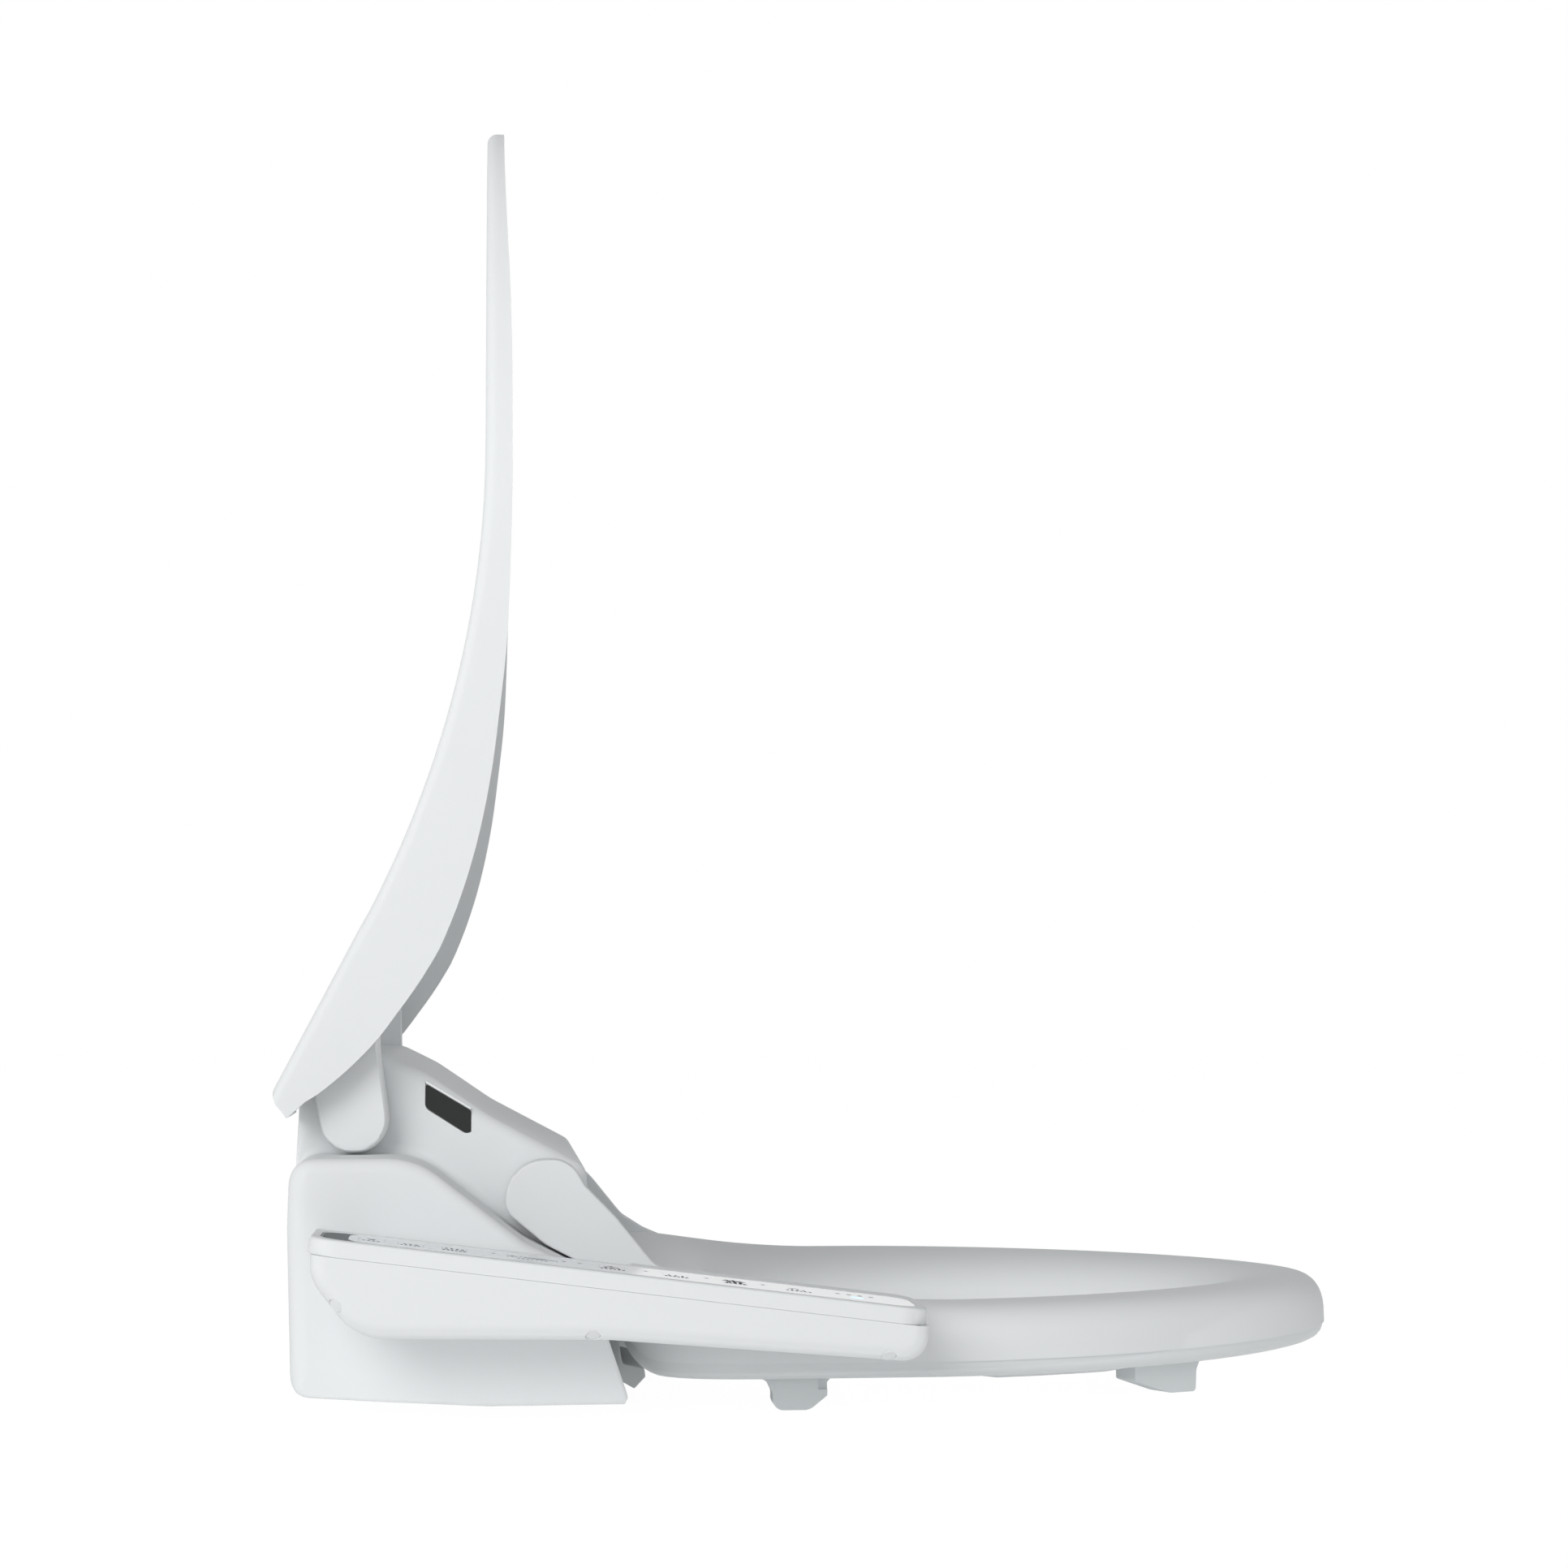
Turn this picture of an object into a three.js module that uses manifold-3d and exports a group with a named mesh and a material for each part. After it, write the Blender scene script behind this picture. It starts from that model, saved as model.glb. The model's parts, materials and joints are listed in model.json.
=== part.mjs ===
// Electric bidet seat: casing with hinged lid and seat ring, side control arm, wash nozzles, water and
// air units.
// Millimetres. +Z is up, the front of the seat points along -Y and the control arm is on the -X side.
// Side profiles are drawn as (f, z), where f is the distance in front of the bolt line, so y = -f.
import * as THREE from 'three';
import { mergeVertices } from 'three/addons/utils/BufferGeometryUtils.js';
import Module from 'manifold-3d';

const wasm = await Module();
wasm.setup();

// ---- Driving dimensions ----
const gap = 0.3;                 // between pieces that touch
const runningGap = 0.8;          // between pieces that move past each other
const wall = 2.6;                // moulded casing wall

// Casing: a raised housing in the middle and a lower shoulder on each side
const housingHalf = 152;
const casingHalf = 208;
const casingRear = -61;
const casingFront = 90;
const casingBottom = 13;
const rearWallRadius = 18;
const shoulderTop = 118.3;
const housingTop = 165.5;
const housingNose = [73, 103];   // where the sloping top turns down to the front wall

// Base
const trayBottom = 7;
const trayThickness = 3;
const plateThickness = 5;        // mounting plate, its underside on the bowl at z = 0
const plateHalf = 95;
const plateRear = -32;
const plateFront = 24;
const boltSpacing = 140;
const boltSlotWidth = 12;
const boltSlotLength = 34;

// Hinges
const lidPivot = [-36, 137];
const seatPivot = [54, 97];
const shaftRadius = 6;
const hingeArmInner = housingHalf + runningGap;
const hingeArmOuter = 172;
const lidArmRadius = 16.5;
const seatArmRadius = 18;
const lidSwing = 92;             // degrees from open to closed
const shaftReach = 16;           // into the housing

// Seat ring
const seatHalf = 188;
const seatRear = 93;
const seatWidest = 230;
const seatTip = 470;
const frontPower = 1.75;         // outline exponents
const rearPower = 7;
const ringWidthSide = 78;
const ringWidthFront = 62;
const ringWidthRear = 56;
const holeFrontPower = 1.9;
const holeRearPower = 2.4;
const seatUnderside = 15.5;
const seatJoint = 23.7;          // height of the groove between the seat shells
const seatCrest = 49.3;
const crestInset = 24;           // from the outer edge to the highest line
const rearRise = 14;             // how much the ring climbs to its hinge arms
const rearRiseStart = 215;
const seatWall = 3;
const heaterThickness = 0.6;

// Lid
const lidHalf = 188;
const lidWall = 3;
const lidTip = 651;
const lidWidest = 403;
const lidBend = 446;             // above this height the lid is straight
const lidFace = 23.5;            // f of the straight part
const lidSkirtFace = 36;         // f of the open edge of the skirt
const lidLean = 27.3;            // degrees from vertical of the lower part
const lidBendRadius = 480;
const lidHeel = [-72, 145];      // lower rear corner of the cheeks
const lidHeelFront = [-64, 136];
const lidMiddleEdge = 172;       // the lid is cut away over the housing below this height

// Control arm
const armOuter = casingHalf + 54;
const armInnerFront = casingHalf - 12;
const panelRear = [-49, 88];     // rear upper corner of the sloping panel, as (f, z)
const panelLength = 269;
const panelPitch = 7.1;          // degrees below horizontal, to the front
const bezelThickness = 7.5;
const bezelRim = 5;
const overlayThickness = 0.8;
const overlayRadius = 12;
const armUnderRear = [-22, 44];
const armUnderFront = [206, 32];   // as (f, z); the front end itself follows the panel
const keyTravel = 0.8;
const keyLength = 11;
const keyWidth = 22;
const keyProud = 0.4;

// Nozzle unit
const nozzlePitch = 28;          // degrees below horizontal, to the front
const nozzleTip = [88, 15];      // end of the retracted nozzles
const nozzleRadius = 5;
const nozzleSpacing = 22;
const nozzleLength = 154;
const nozzleTravel = 105;
const nozzlePlay = 0.4;
const gearModule = 2;
const pinionTeeth = 8;
const pinionBehindTip = 45;
const rackWidth = 5;
const rackDepth = 3;             // from the nozzle's underside to the rack's pitch line
const guideWall = 2;
const motorRadius = 10;
const motorLength = 16;

// Dryer
const fanCentre = [0, 76];
const fanRadius = 30;
const fanInner = 62;             // x of the scroll's two sides
const fanOuter = 92;
const ductWall = 1.6;
const motorShaft = 1.5;
const impellerRadius = 26;
const impellerBlades = 14;

// Water
const tankSides = [-146, -76];   // x
const tankEnds = [-46, 26];      // f
const tankTop = 88;
const tankWall = 2.5;
const inletPlace = [-22, 32];    // (f, z) of the water inlet, on the left
const inletRadius = 10.5;

// Deodoriser cartridge and release button, in the left side
const cartridgeEnds = [20, 58];  // f
const cartridgeTop = 34;
const cartridgeDepth = 40;
const buttonEnds = [66, 80];
const buttonTop = 26;

const rad = THREE.MathUtils.degToRad;
const plastic = (color, roughness, metalness = 0) => new THREE.MeshStandardMaterial({
  color, roughness, metalness });
const finish = {
  gloss: plastic(0xf1f2f1, 0.18),
  satin: plastic(0xe8e9e8, 0.45),
  grey: plastic(0x8d9194, 0.5),
  overlay: plastic(0xeef1f4, 0.25),
  dark: plastic(0x17181a, 0.12),
  rubber: plastic(0xb9bcbd, 0.8),
  black: plastic(0x222325, 0.6),
  steel: plastic(0xb8bbbe, 0.3, 1),
  brass: plastic(0xb89a5a, 0.35, 1),
  board: plastic(0x1f6b3c, 0.5),
  foil: plastic(0xc9a26b, 0.4, 0.6),
  clear: plastic(0xbfd0da, 0.2),
};

// ---- Solids ----
const object = new THREE.Group();
const facetTurn = rad(25);       // between facets of a small rounded corner
const fineTurn = rad(10);        // and of one larger than largeRadius
const largeRadius = 10;
const shortestFacet = 0.4;
const curveSteps = 10;           // of each free curve

function solid(geometry) {
  geometry.deleteAttribute('normal');
  geometry.deleteAttribute('uv');
  const merged = mergeVertices(geometry, 1e-4);
  return new wasm.Manifold(new wasm.Mesh({
    numProp: 3,
    vertProperties: new Float32Array(merged.attributes.position.array),
    triVerts: new Uint32Array(merged.index.array),
  }));
}

function add(name, body, material, parent = object) {
  const cut = body.getMesh();
  const geometry = new THREE.BufferGeometry();
  geometry.setAttribute('position', new THREE.BufferAttribute(cut.vertProperties, 3));
  geometry.setIndex(new THREE.BufferAttribute(cut.triVerts, 1));
  geometry.computeVertexNormals();
  const piece = new THREE.Mesh(geometry, material);
  piece.name = name;
  parent.add(piece);
  return piece;
}

// The points of an arc round a centre, from angle a0 to a1, as corners for an outline
function arcPoints([a, b], radius, a0, a1) {
  const steps = Math.ceil(Math.abs(a1 - a0) / (radius > largeRadius ? fineTurn : facetTurn));
  return Array.from({ length: steps + 1 }, (_, i) => {
    const angle = a0 + ((a1 - a0) * i) / steps;
    return [a + radius * Math.cos(angle), b + radius * Math.sin(angle)];
  });
}

// A closed outline from corners [a, b, radius]; each radius becomes facets of an arc tangent to both edges
function outline(corners) {
  const at = (i) => new THREE.Vector2(...corners[(i + corners.length) % corners.length]);
  return new THREE.Shape(corners.flatMap(([, , radius = 0], i) => {
    const here = at(i);
    const back = at(i - 1).sub(here);
    const on = at(i + 1).sub(here);
    const room = 0.49 * Math.min(back.length(), on.length());
    const half = Math.acos(back.normalize().dot(on.normalize())) / 2;
    const r = Math.min(radius, room * Math.tan(half));
    const turn = Math.PI - 2 * half;
    if (r * turn < shortestFacet) return [here];
    const centre = here.clone().addScaledVector(back.clone().add(on).normalize(), r / Math.sin(half));
    const start = here.clone().addScaledVector(back, r / Math.tan(half)).sub(centre).angle();
    const sweep = back.cross(on) > 0 ? -turn : turn;
    return arcPoints(centre.toArray(), r, start, start + sweep).map((point) => new THREE.Vector2(...point));
  }));
}

// Corners of the same outline moved inwards by d, for an outline drawn anticlockwise
function inset(corners, d) {
  const n = corners.length;
  const at = (i) => new THREE.Vector2(...corners[(i + n) % n]);
  return corners.map(([, , radius = 0], i) => {
    const inward = at(i).sub(at(i - 1)).normalize();
    const onward = at(i + 1).sub(at(i)).normalize();
    const a = new THREE.Vector2(-inward.y, inward.x);
    const b = new THREE.Vector2(-onward.y, onward.x);
    const move = a.clone().add(b).multiplyScalar(d / (1 + a.dot(b)));
    const place = at(i).add(move);
    return [place.x, place.y, Math.max(radius - d, 0)];
  });
}

// The same shape as straight steps, without points that lie on each other
function stepped(shape) {
  const points = shape.getPoints(curveSteps);
  return new THREE.Shape(points.filter((point, i) => point.distanceTo(points.at(i - 1)) > 1e-3));
}

// An (f, z) shape carried along X from x0 to x1
function acrossX(shape, x0, x1, bevel = 0) {
  const depth = x1 - x0 - 2 * bevel;
  const edge = { bevelSize: bevel, bevelThickness: bevel, bevelOffset: -bevel, bevelSegments: 2 };
  const geometry = new THREE.ExtrudeGeometry(stepped(shape), { depth, bevelEnabled: bevel > 0, ...edge });
  const axes = new THREE.Matrix4().makeBasis(
    new THREE.Vector3(0, -1, 0), new THREE.Vector3(0, 0, 1), new THREE.Vector3(-1, 0, 0));
  geometry.applyMatrix4(axes);
  geometry.translate(x1 - bevel, 0, 0);
  return solid(geometry);
}

// A plan shape drawn as (x, y), carried up from z0 to z1
function upright(shape, z0, z1) {
  const geometry = new THREE.ExtrudeGeometry(stepped(shape), { depth: z1 - z0, bevelEnabled: false });
  geometry.translate(0, 0, z0);
  return solid(geometry);
}

// A plan rectangle between x0, x1 and f0, f1 with rounded corners
const planBox = (x0, x1, f0, f1, radius) => outline([
  [x0, -f1, radius], [x1, -f1, radius], [x1, -f0, radius], [x0, -f0, radius]]);

function block(x0, x1, f0, f1, z0, z1) {
  const geometry = new THREE.BoxGeometry(x1 - x0, f1 - f0, z1 - z0);
  geometry.translate((x0 + x1) / 2, -(f0 + f1) / 2, (z0 + z1) / 2);
  return solid(geometry);
}

// Round bars along X, Y and Z
function barX(radius, x0, x1, [f, z], sides = 24) {
  const geometry = new THREE.CylinderGeometry(radius, radius, x1 - x0, sides);
  geometry.rotateZ(Math.PI / 2);
  geometry.translate((x0 + x1) / 2, -f, z);
  return solid(geometry);
}
function barY(radius, f0, f1, x, z, sides = 24) {
  const geometry = new THREE.CylinderGeometry(radius, radius, f1 - f0, sides);
  geometry.translate(x, -(f0 + f1) / 2, z);
  return solid(geometry);
}
function barZ(radius, z0, z1, x, f, sides = 24) {
  const geometry = new THREE.CylinderGeometry(radius, radius, z1 - z0, sides);
  geometry.rotateX(Math.PI / 2);
  geometry.translate(x, -f, (z0 + z1) / 2);
  return solid(geometry);
}

const mirror = (body) => body.mirror([1, 0, 0]);
const sides = [['right', -1], ['left', 1]];
// The body drawn on the left, +X, or its mirror image on the right
const onSide = (sign, body) => (sign > 0 ? body : mirror(body));

// ---- Casing ----
// The shoulder's top: level at the back, down in front of the hinge arms, then along to the seat ring
const shoulderCorners = [
  [casingRear + 3, casingBottom, 8], [casingFront, casingBottom, 3], [casingFront - 6, 62, 5],
  [44, 80.5, 30], [-6, shoulderTop, 22], [casingRear, shoulderTop, 6]];
const housingCorners = [
  [casingRear + 3, casingBottom, 8], [casingFront - 2, casingBottom, 3], [casingFront - 6, 62, 20],
  [housingNose[0] + 1, housingNose[1], 10], [62, 117, 14], [-2, 154.2, 30], [-21, housingTop, 16],
  [casingRear + 11, housingTop, 14], [casingRear - 1, 148, 10]];

function casingSolid(d) {
  const plan = planBox(
    -casingHalf + d, casingHalf - d, casingRear - 1 + d, casingFront - d, rearWallRadius - d);
  const shoulder = acrossX(outline(inset(shoulderCorners, d)), -casingHalf + d, casingHalf - d);
  const housing = acrossX(outline(inset(housingCorners, d)), -housingHalf + d, housingHalf - d);
  return shoulder.add(housing).intersect(upright(plan, 0, housingTop + 10));
}
const trayRear = casingRear + 12;
const bottomCut = block(
  -casingHalf + wall, casingHalf - wall, trayRear, casingFront - 2 - wall, 0, casingBottom + wall + 1);
let casing = casingSolid(0).subtract(casingSolid(wall)).subtract(bottomCut);

// Bores for the hinge shafts, in both side walls of the housing
for (const pivot of [lidPivot, seatPivot]) {
  casing = casing.subtract(barX(shaftRadius + runningGap / 2, -housingHalf - 1, housingHalf + 1, pivot));
}

// ---- Sensor window in the housing's right side, under the sloping edge ----
const windowCorners = [
  [-2, 141.5, 3], [2.5, 136.5, 4], [15, 130.5, 4], [19, 133, 2], [19, 139, 1], [-2, 152, 1]];
const windowDepth = 1.6;
const windowSeat = acrossX(outline(inset(windowCorners, -gap)), -housingHalf - 1, -housingHalf + windowDepth);
casing = casing.subtract(windowSeat);
const windowFace = acrossX(outline(windowCorners), -housingHalf - 0.2, -housingHalf + windowDepth - gap);
add('sensor_window', windowFace, finish.dark);

// ---- Nozzle bay: the lip below the front wall that the nozzles and the dryer blow out of ----
const bayHalf = 100;
const bayTop = 30;
const bayFace = casingFront + gap;
const bayCorners = [
  [70, trayBottom + trayThickness + gap], [93, 4.5, 2], [99, 2.5, 2], [106, 9, 2], [104, 12.2, 1],
  [92.5, 13, 2], [bayFace, bayTop, 1], [bayFace - 4, bayTop], [bayFace - 5, 15], [70, 15]];
const mouthHalf = nozzleSpacing / 2 + nozzleRadius + 4;
const mouth = block(-mouthHalf, mouthHalf, 60, 110, 0, bayTop - guideWall);
let bay = acrossX(outline(bayCorners), -bayHalf, bayHalf);
casing = casing.subtract(acrossX(outline(inset(bayCorners, -gap)), -bayHalf - gap, bayHalf + gap));
casing = casing.subtract(mouth);
bay = bay.subtract(mouth);

// The dryer's air channel through the lip, and the flap over its outlet, hinged at f 103.4, z 9.6
const airSides = [fanInner + ductWall, fanOuter - ductWall];
const airChannel = outline([
  [71.6, 16], [81.9, 16], [86, 12.8], [101.5, 10.7], [108, 9.3], [98.5, 1], [93, 1], [88, 7], [75, 11]]);
bay = bay.subtract(acrossX(airChannel, ...airSides));
add('nozzle_bay', bay, finish.satin);

const flapCorners = [[102.4, 9.8], [97, 3.8], [98, 2.9], [103.9, 9.1]];
const flap = acrossX(outline(flapCorners), airSides[0] + gap, airSides[1] - gap);
add('dryer_flap', flap, finish.satin);

// ---- Casing openings on the left side and at the back ----
const inletX = casingHalf + 14;
const cartridgeBottom = casingBottom + gap;
const sideOpening = (ends, top) => block(
  casingHalf - 2 * wall, casingHalf + 1, ends[0] - gap, ends[1] + gap, cartridgeBottom - gap, top + gap);
casing = casing.subtract(sideOpening(cartridgeEnds, cartridgeTop));
casing = casing.subtract(sideOpening(buttonEnds, buttonTop));
casing = casing.subtract(barX(inletRadius + gap, casingHalf - 2 * wall, inletX, inletPlace));
const glandPlace = [150, 34];    // (x, z) of the power cord's gland
const glandRadius = 8;
casing = casing.subtract(barY(glandRadius + gap, casingRear - 3, casingRear + 10, ...glandPlace));
add('casing_upper', casing, finish.gloss);

// ---- Base tray, mounting plate and pads ----
const trayTop = casingBottom - gap;
const floorTop = trayBottom + trayThickness;
const trayHalf = casingHalf - 2;
const trayPlan = (d) => planBox(-trayHalf + d, trayHalf - d, trayRear + d, casingFront - 3 - d, 12 - d);
let tray = upright(trayPlan(0), trayBottom, trayTop).subtract(upright(trayPlan(3), floorTop, trayTop + 1));
tray = tray.subtract(block(-bayHalf - gap, bayHalf + gap, 70 - gap, casingFront, 0, trayTop + 1));
const bossHalf = plateHalf - 15;
const inFloor = floorTop - 0.5;  // where a boss starts, inside the floor
tray = tray.add(block(-bossHalf, bossHalf, plateRear + 6, plateFront - 4, plateThickness + gap, inFloor));
for (const ends of [cartridgeEnds, buttonEnds]) {
  tray = tray.add(block(
    casingHalf - cartridgeDepth, casingHalf - 6, ends[0] + 2, ends[1] - 2, inFloor, trayTop));
}
let plate = upright(planBox(-plateHalf, plateHalf, plateRear, plateFront, 8), 0, plateThickness);
for (const x of [-boltSpacing / 2, boltSpacing / 2]) {
  const slotHalf = boltSlotWidth / 2;
  const slot = planBox(x - slotHalf, x + slotHalf, -boltSlotLength / 2, boltSlotLength / 2, slotHalf - 0.01);
  plate = plate.subtract(upright(slot, -1, plateThickness + 1));
  tray = tray.subtract(upright(slot, 0, trayBottom + 1));
}
add('base_tray', tray, finish.satin);
add('mounting_plate', plate, finish.grey);

for (const [word, sign] of sides) {
  add(`base_pad_${word}`, barZ(11, 0, trayBottom - gap, sign * (casingHalf - 78), -20, 20), finish.rubber);
}

// ---- Control arm: case, bezel, overlay, keys and circuit board ----
const pitch = rad(panelPitch);
// The point s in front of the panel's rear corner and d below its face
const onPanelLine = (s, d) => [
  panelRear[0] + s * Math.cos(pitch) - d * Math.sin(pitch),
  panelRear[1] - s * Math.sin(pitch) - d * Math.cos(pitch)];
// Carries a body drawn on the panel, with f from its rear corner and z = 0 on its face, to its place
const onPanel = (body) => body.rotate([panelPitch, 0, 0]).translate([0, -panelRear[0], panelRear[1]]);
const armInner = casingHalf + gap;
const armMiddle = (armOuter + armInner) / 2;
const armFront = onPanelLine(panelLength, 0)[0];
const armStep = casingFront + runningGap;
const armWall = 2.4;
const armCorners = [
  [...onPanelLine(0, 22), 5], [...armUnderRear, 12], [80, 43], [armFront - 1, armUnderFront[1] - 0.8, 12],
  onPanelLine(panelLength, -10), onPanelLine(0, -10)];
const besideCasing = block(-armInner, 0, casingRear - 10, armStep, 0, housingTop);
const abovePanel = onPanel(block(-300, 0, -30, panelLength + 30, -bezelThickness - gap, 60));
let armCase = acrossX(outline(armCorners), -armOuter, -armInnerFront, 3);
const armCavity = acrossX(outline(inset(armCorners, armWall)), -armOuter + armWall, -armInner - armWall);
const boardTop = -10.4;
const boardThickness = 1.6;
armCase = armCase.subtract(armCavity);
for (const s of [30, 130, 225]) {
  const post = onPanel(barZ(4, -60, boardTop - boardThickness - gap, -armMiddle, s, 12));
  armCase = armCase.add(post.intersect(acrossX(outline(armCorners), -armOuter + 1, -armInner - 1)));
}
armCase = armCase.subtract(besideCasing).subtract(abovePanel);

const plugRadius = 5;
const plugPlaces = [
  ['rear', armUnderRear[0] - 14, armUnderRear[1] + 13], ['middle', 73, 51],
  ['front', armFront - 17, armUnderFront[1] + 10]];
for (const [word, f, z] of plugPlaces) {
  armCase = armCase.subtract(barX(plugRadius + gap, -armOuter - 1, -armOuter + 1.4, [f, z], 20));
  add(`screw_plug_${word}`, barX(plugRadius, -armOuter - 0.1, -armOuter + 1.1, [f, z], 20), finish.gloss);
}
add('control_arm_case', armCase, finish.gloss);

// The bezel's plan: beside the casing at the back, closer to the seat in front of it
const stepAt = (armStep - panelRear[0]) / Math.cos(pitch);
const bezelPlan = (d) => outline([
  [-armOuter + d, -panelLength + d, 14 - d], [-armInnerFront - d, -panelLength + d, 14 - d],
  [-armInnerFront - d, -stepAt - d, 3], [-armInner - d, -stepAt - d, 3], [-armInner - d, -d, 3],
  [-armOuter + d, -d, 14 - d]]);
const overlayPlan = (x, s0, s1, radius) => planBox(-armMiddle - x, -armMiddle + x, s0, s1, radius);
const overlayHalf = (armOuter - armInner) / 2 - bezelRim;
const lensLength = 12;
const overlayTop = -0.1;
const overlayFoot = overlayTop - overlayThickness;
const recessPlan = overlayPlan(overlayHalf, bezelRim, panelLength - bezelRim, overlayRadius);
let bezel = upright(bezelPlan(0), -bezelThickness, 0).subtract(upright(recessPlan, overlayFoot - gap, 1));
const overlayFit = overlayHalf - gap;
const lensEnd = bezelRim + lensLength;
let overlay = upright(
  overlayPlan(overlayFit, lensEnd, panelLength - bezelRim - gap, overlayRadius), overlayFoot, overlayTop);
const lensBody = upright(
  overlayPlan(overlayFit - 4, bezelRim + 1, lensEnd + overlayRadius, overlayRadius), overlayFoot, overlayTop);
const lens = lensBody.subtract(upright(
  overlayPlan(overlayFit + gap, lensEnd - gap, panelLength, overlayRadius + gap), -bezelThickness, 1));
add('status_lens', onPanel(lens), finish.dark);

const keys = [
  ['stop', -23, keyLength], ['rear_wash', -6, keyLength], ['front_wash', 13, keyLength],
  ['pressure', 47, 2 * keyLength], ['dry', 82, keyLength], ['seat_heat', 110, keyLength],
  ['water_heat', 136, keyLength]];
for (const [word, f, length] of keys) {
  const s = (f - panelRear[0]) / Math.cos(pitch);
  const keyPlan = (d) => overlayPlan(keyWidth / 2 + d, s - length / 2 - d, s + length / 2 + d, 4 + d);
  overlay = overlay.subtract(upright(keyPlan(gap), -bezelThickness - 1, 2));
  const [across, along] = [keyWidth / 2 + gap, length / 2 + gap];
  bezel = bezel.subtract(block(
    -armMiddle - across, -armMiddle + across, s - along, s + along, -bezelThickness - 1, 2));
  const key = upright(keyPlan(0), boardTop + keyTravel + gap, overlayTop + keyProud);
  add(`key_${word}`, onPanel(key), finish.overlay);
}
add('control_overlay', onPanel(overlay), finish.overlay);
add('control_arm_bezel', onPanel(bezel), finish.gloss);
const boardPlan = overlayPlan(overlayHalf, 14, panelLength - 30, 2);
add('control_board', onPanel(upright(boardPlan, boardTop - boardThickness, boardTop)), finish.board);

// ---- Hinge shafts and dampers ----
const shaftInner = housingHalf - shaftReach - wall;
const shaftOuter = hingeArmOuter - 4;
const boreRadius = shaftRadius + gap;
const armBore = (pivot, sign) => onSide(sign, barX(boreRadius, 0, shaftOuter + gap, pivot));
const damper = (pivot, sign) => onSide(sign, barX(11, shaftInner - 6, housingHalf - wall - gap, pivot)
  .subtract(barX(boreRadius, shaftInner - gap, housingHalf, pivot)));
for (const [word, sign] of sides) {
  add(`lid_shaft_${word}`, onSide(sign, barX(shaftRadius, shaftInner, shaftOuter, lidPivot)), finish.steel);
  add(`seat_shaft_${word}`, onSide(sign, barX(shaftRadius, shaftInner, shaftOuter, seatPivot)), finish.steel);
}
add('lid_damper', damper(lidPivot, 1), finish.black);
add('seat_damper', damper(seatPivot, -1), finish.black);

// ---- Lid, drawn open ----
// Outer curve from the heel up: straight, then an arc that ends upright, then straight to the tip
const lean = rad(lidLean);
const bendCentre = [lidFace - lidBendRadius, lidBend];
const bendStart = [
  bendCentre[0] + lidBendRadius * Math.cos(lean), lidBend - lidBendRadius * Math.sin(lean)];
// The middle of the lid's wall at height z of the straight lower part, as (f, z)
const lidSlope = (bendStart[0] - lidHeel[0]) / (bendStart[1] - lidHeel[1]);
const lidWallAt = (z) => [lidHeel[0] + (z - lidHeel[1]) * lidSlope + lidWall / 2, z];
function lidProfile(d) {
  const shape = new THREE.Shape();
  const out = [Math.cos(lean) * d, -Math.sin(lean) * d];
  shape.moveTo(lidHeel[0] + out[0], lidHeel[1] + out[1]);
  shape.lineTo(bendStart[0] + out[0], bendStart[1] + out[1]);
  shape.absarc(...bendCentre, lidBendRadius + d, -lean, 0, false);
  return shape;
}
function lidOuterShape() {
  const shape = lidProfile(0);
  shape.lineTo(lidFace - 1, lidTip - 30);
  shape.quadraticCurveTo(lidFace - 1, lidTip - 6, lidFace + 4, lidTip);
  shape.lineTo(lidFace + 8, lidTip);
  shape.lineTo(lidSkirtFace - 4, lidTip - 60);
  shape.quadraticCurveTo(lidSkirtFace, lidTip - 105, lidSkirtFace, lidTip - 150);
  shape.lineTo(lidSkirtFace, lidBend - 16);
  shape.bezierCurveTo(lidSkirtFace + 2, 310, 14, 220, -18, 179);
  shape.lineTo(-23, 173);
  shape.lineTo(...lidHeelFront);
  shape.closePath();
  return shape;
}
function lidHollowShape() {
  const shape = lidProfile(lidWall);
  shape.lineTo(lidFace + lidWall - 1, lidTip - lidWall);
  shape.lineTo(lidFace + 60, lidTip - lidWall);
  shape.lineTo(lidFace + 60, lidHeel[1] - 40);
  shape.lineTo(lidHeel[0] + 6, lidHeel[1] - 40);
  shape.closePath();
  return shape;
}
// Front view of the lid: straight sides up to its widest point, then the outline of the seat
function lidFront(d) {
  const shape = new THREE.Shape();
  const half = lidHalf - d;
  const rise = lidTip - lidWidest - d;
  const steps = 22;
  shape.moveTo(-half, 80);
  shape.lineTo(half, 80);
  for (let i = 0; i <= steps; i += 1) {
    const a = (Math.PI * i) / steps;
    const side = Math.abs(Math.cos(a)) ** (2 / frontPower) * Math.sign(Math.cos(a));
    shape.lineTo(half * side, lidWidest + rise * Math.sin(a) ** (2 / frontPower));
  }
  const geometry = new THREE.ExtrudeGeometry(stepped(shape), { depth: 240, bevelEnabled: false });
  geometry.rotateX(Math.PI / 2);
  geometry.translate(0, 120, 0);
  return solid(geometry);
}
const lidBody = acrossX(lidOuterShape(), -lidHalf - 1, lidHalf + 1).intersect(lidFront(0));
const lidHollow = acrossX(lidHollowShape(), -lidHalf, lidHalf).intersect(lidFront(lidWall));
const overHousing = block(-hingeArmInner, hingeArmInner, -100, 60, 80, lidMiddleEdge);
let lid = lidBody.subtract(lidHollow).subtract(overHousing);
const lidArmShape = outline([
  ...arcPoints(lidPivot, lidArmRadius, Math.PI, 2 * Math.PI), [-24, 174, 4], [-24, 190, 4],
  lidWallAt(204), lidWallAt(178)]);
for (const [, sign] of sides) {
  const arm = acrossX(lidArmShape, hingeArmInner, hingeArmOuter);
  lid = lid.add(onSide(sign, arm)).subtract(armBore(lidPivot, sign));
}
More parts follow.
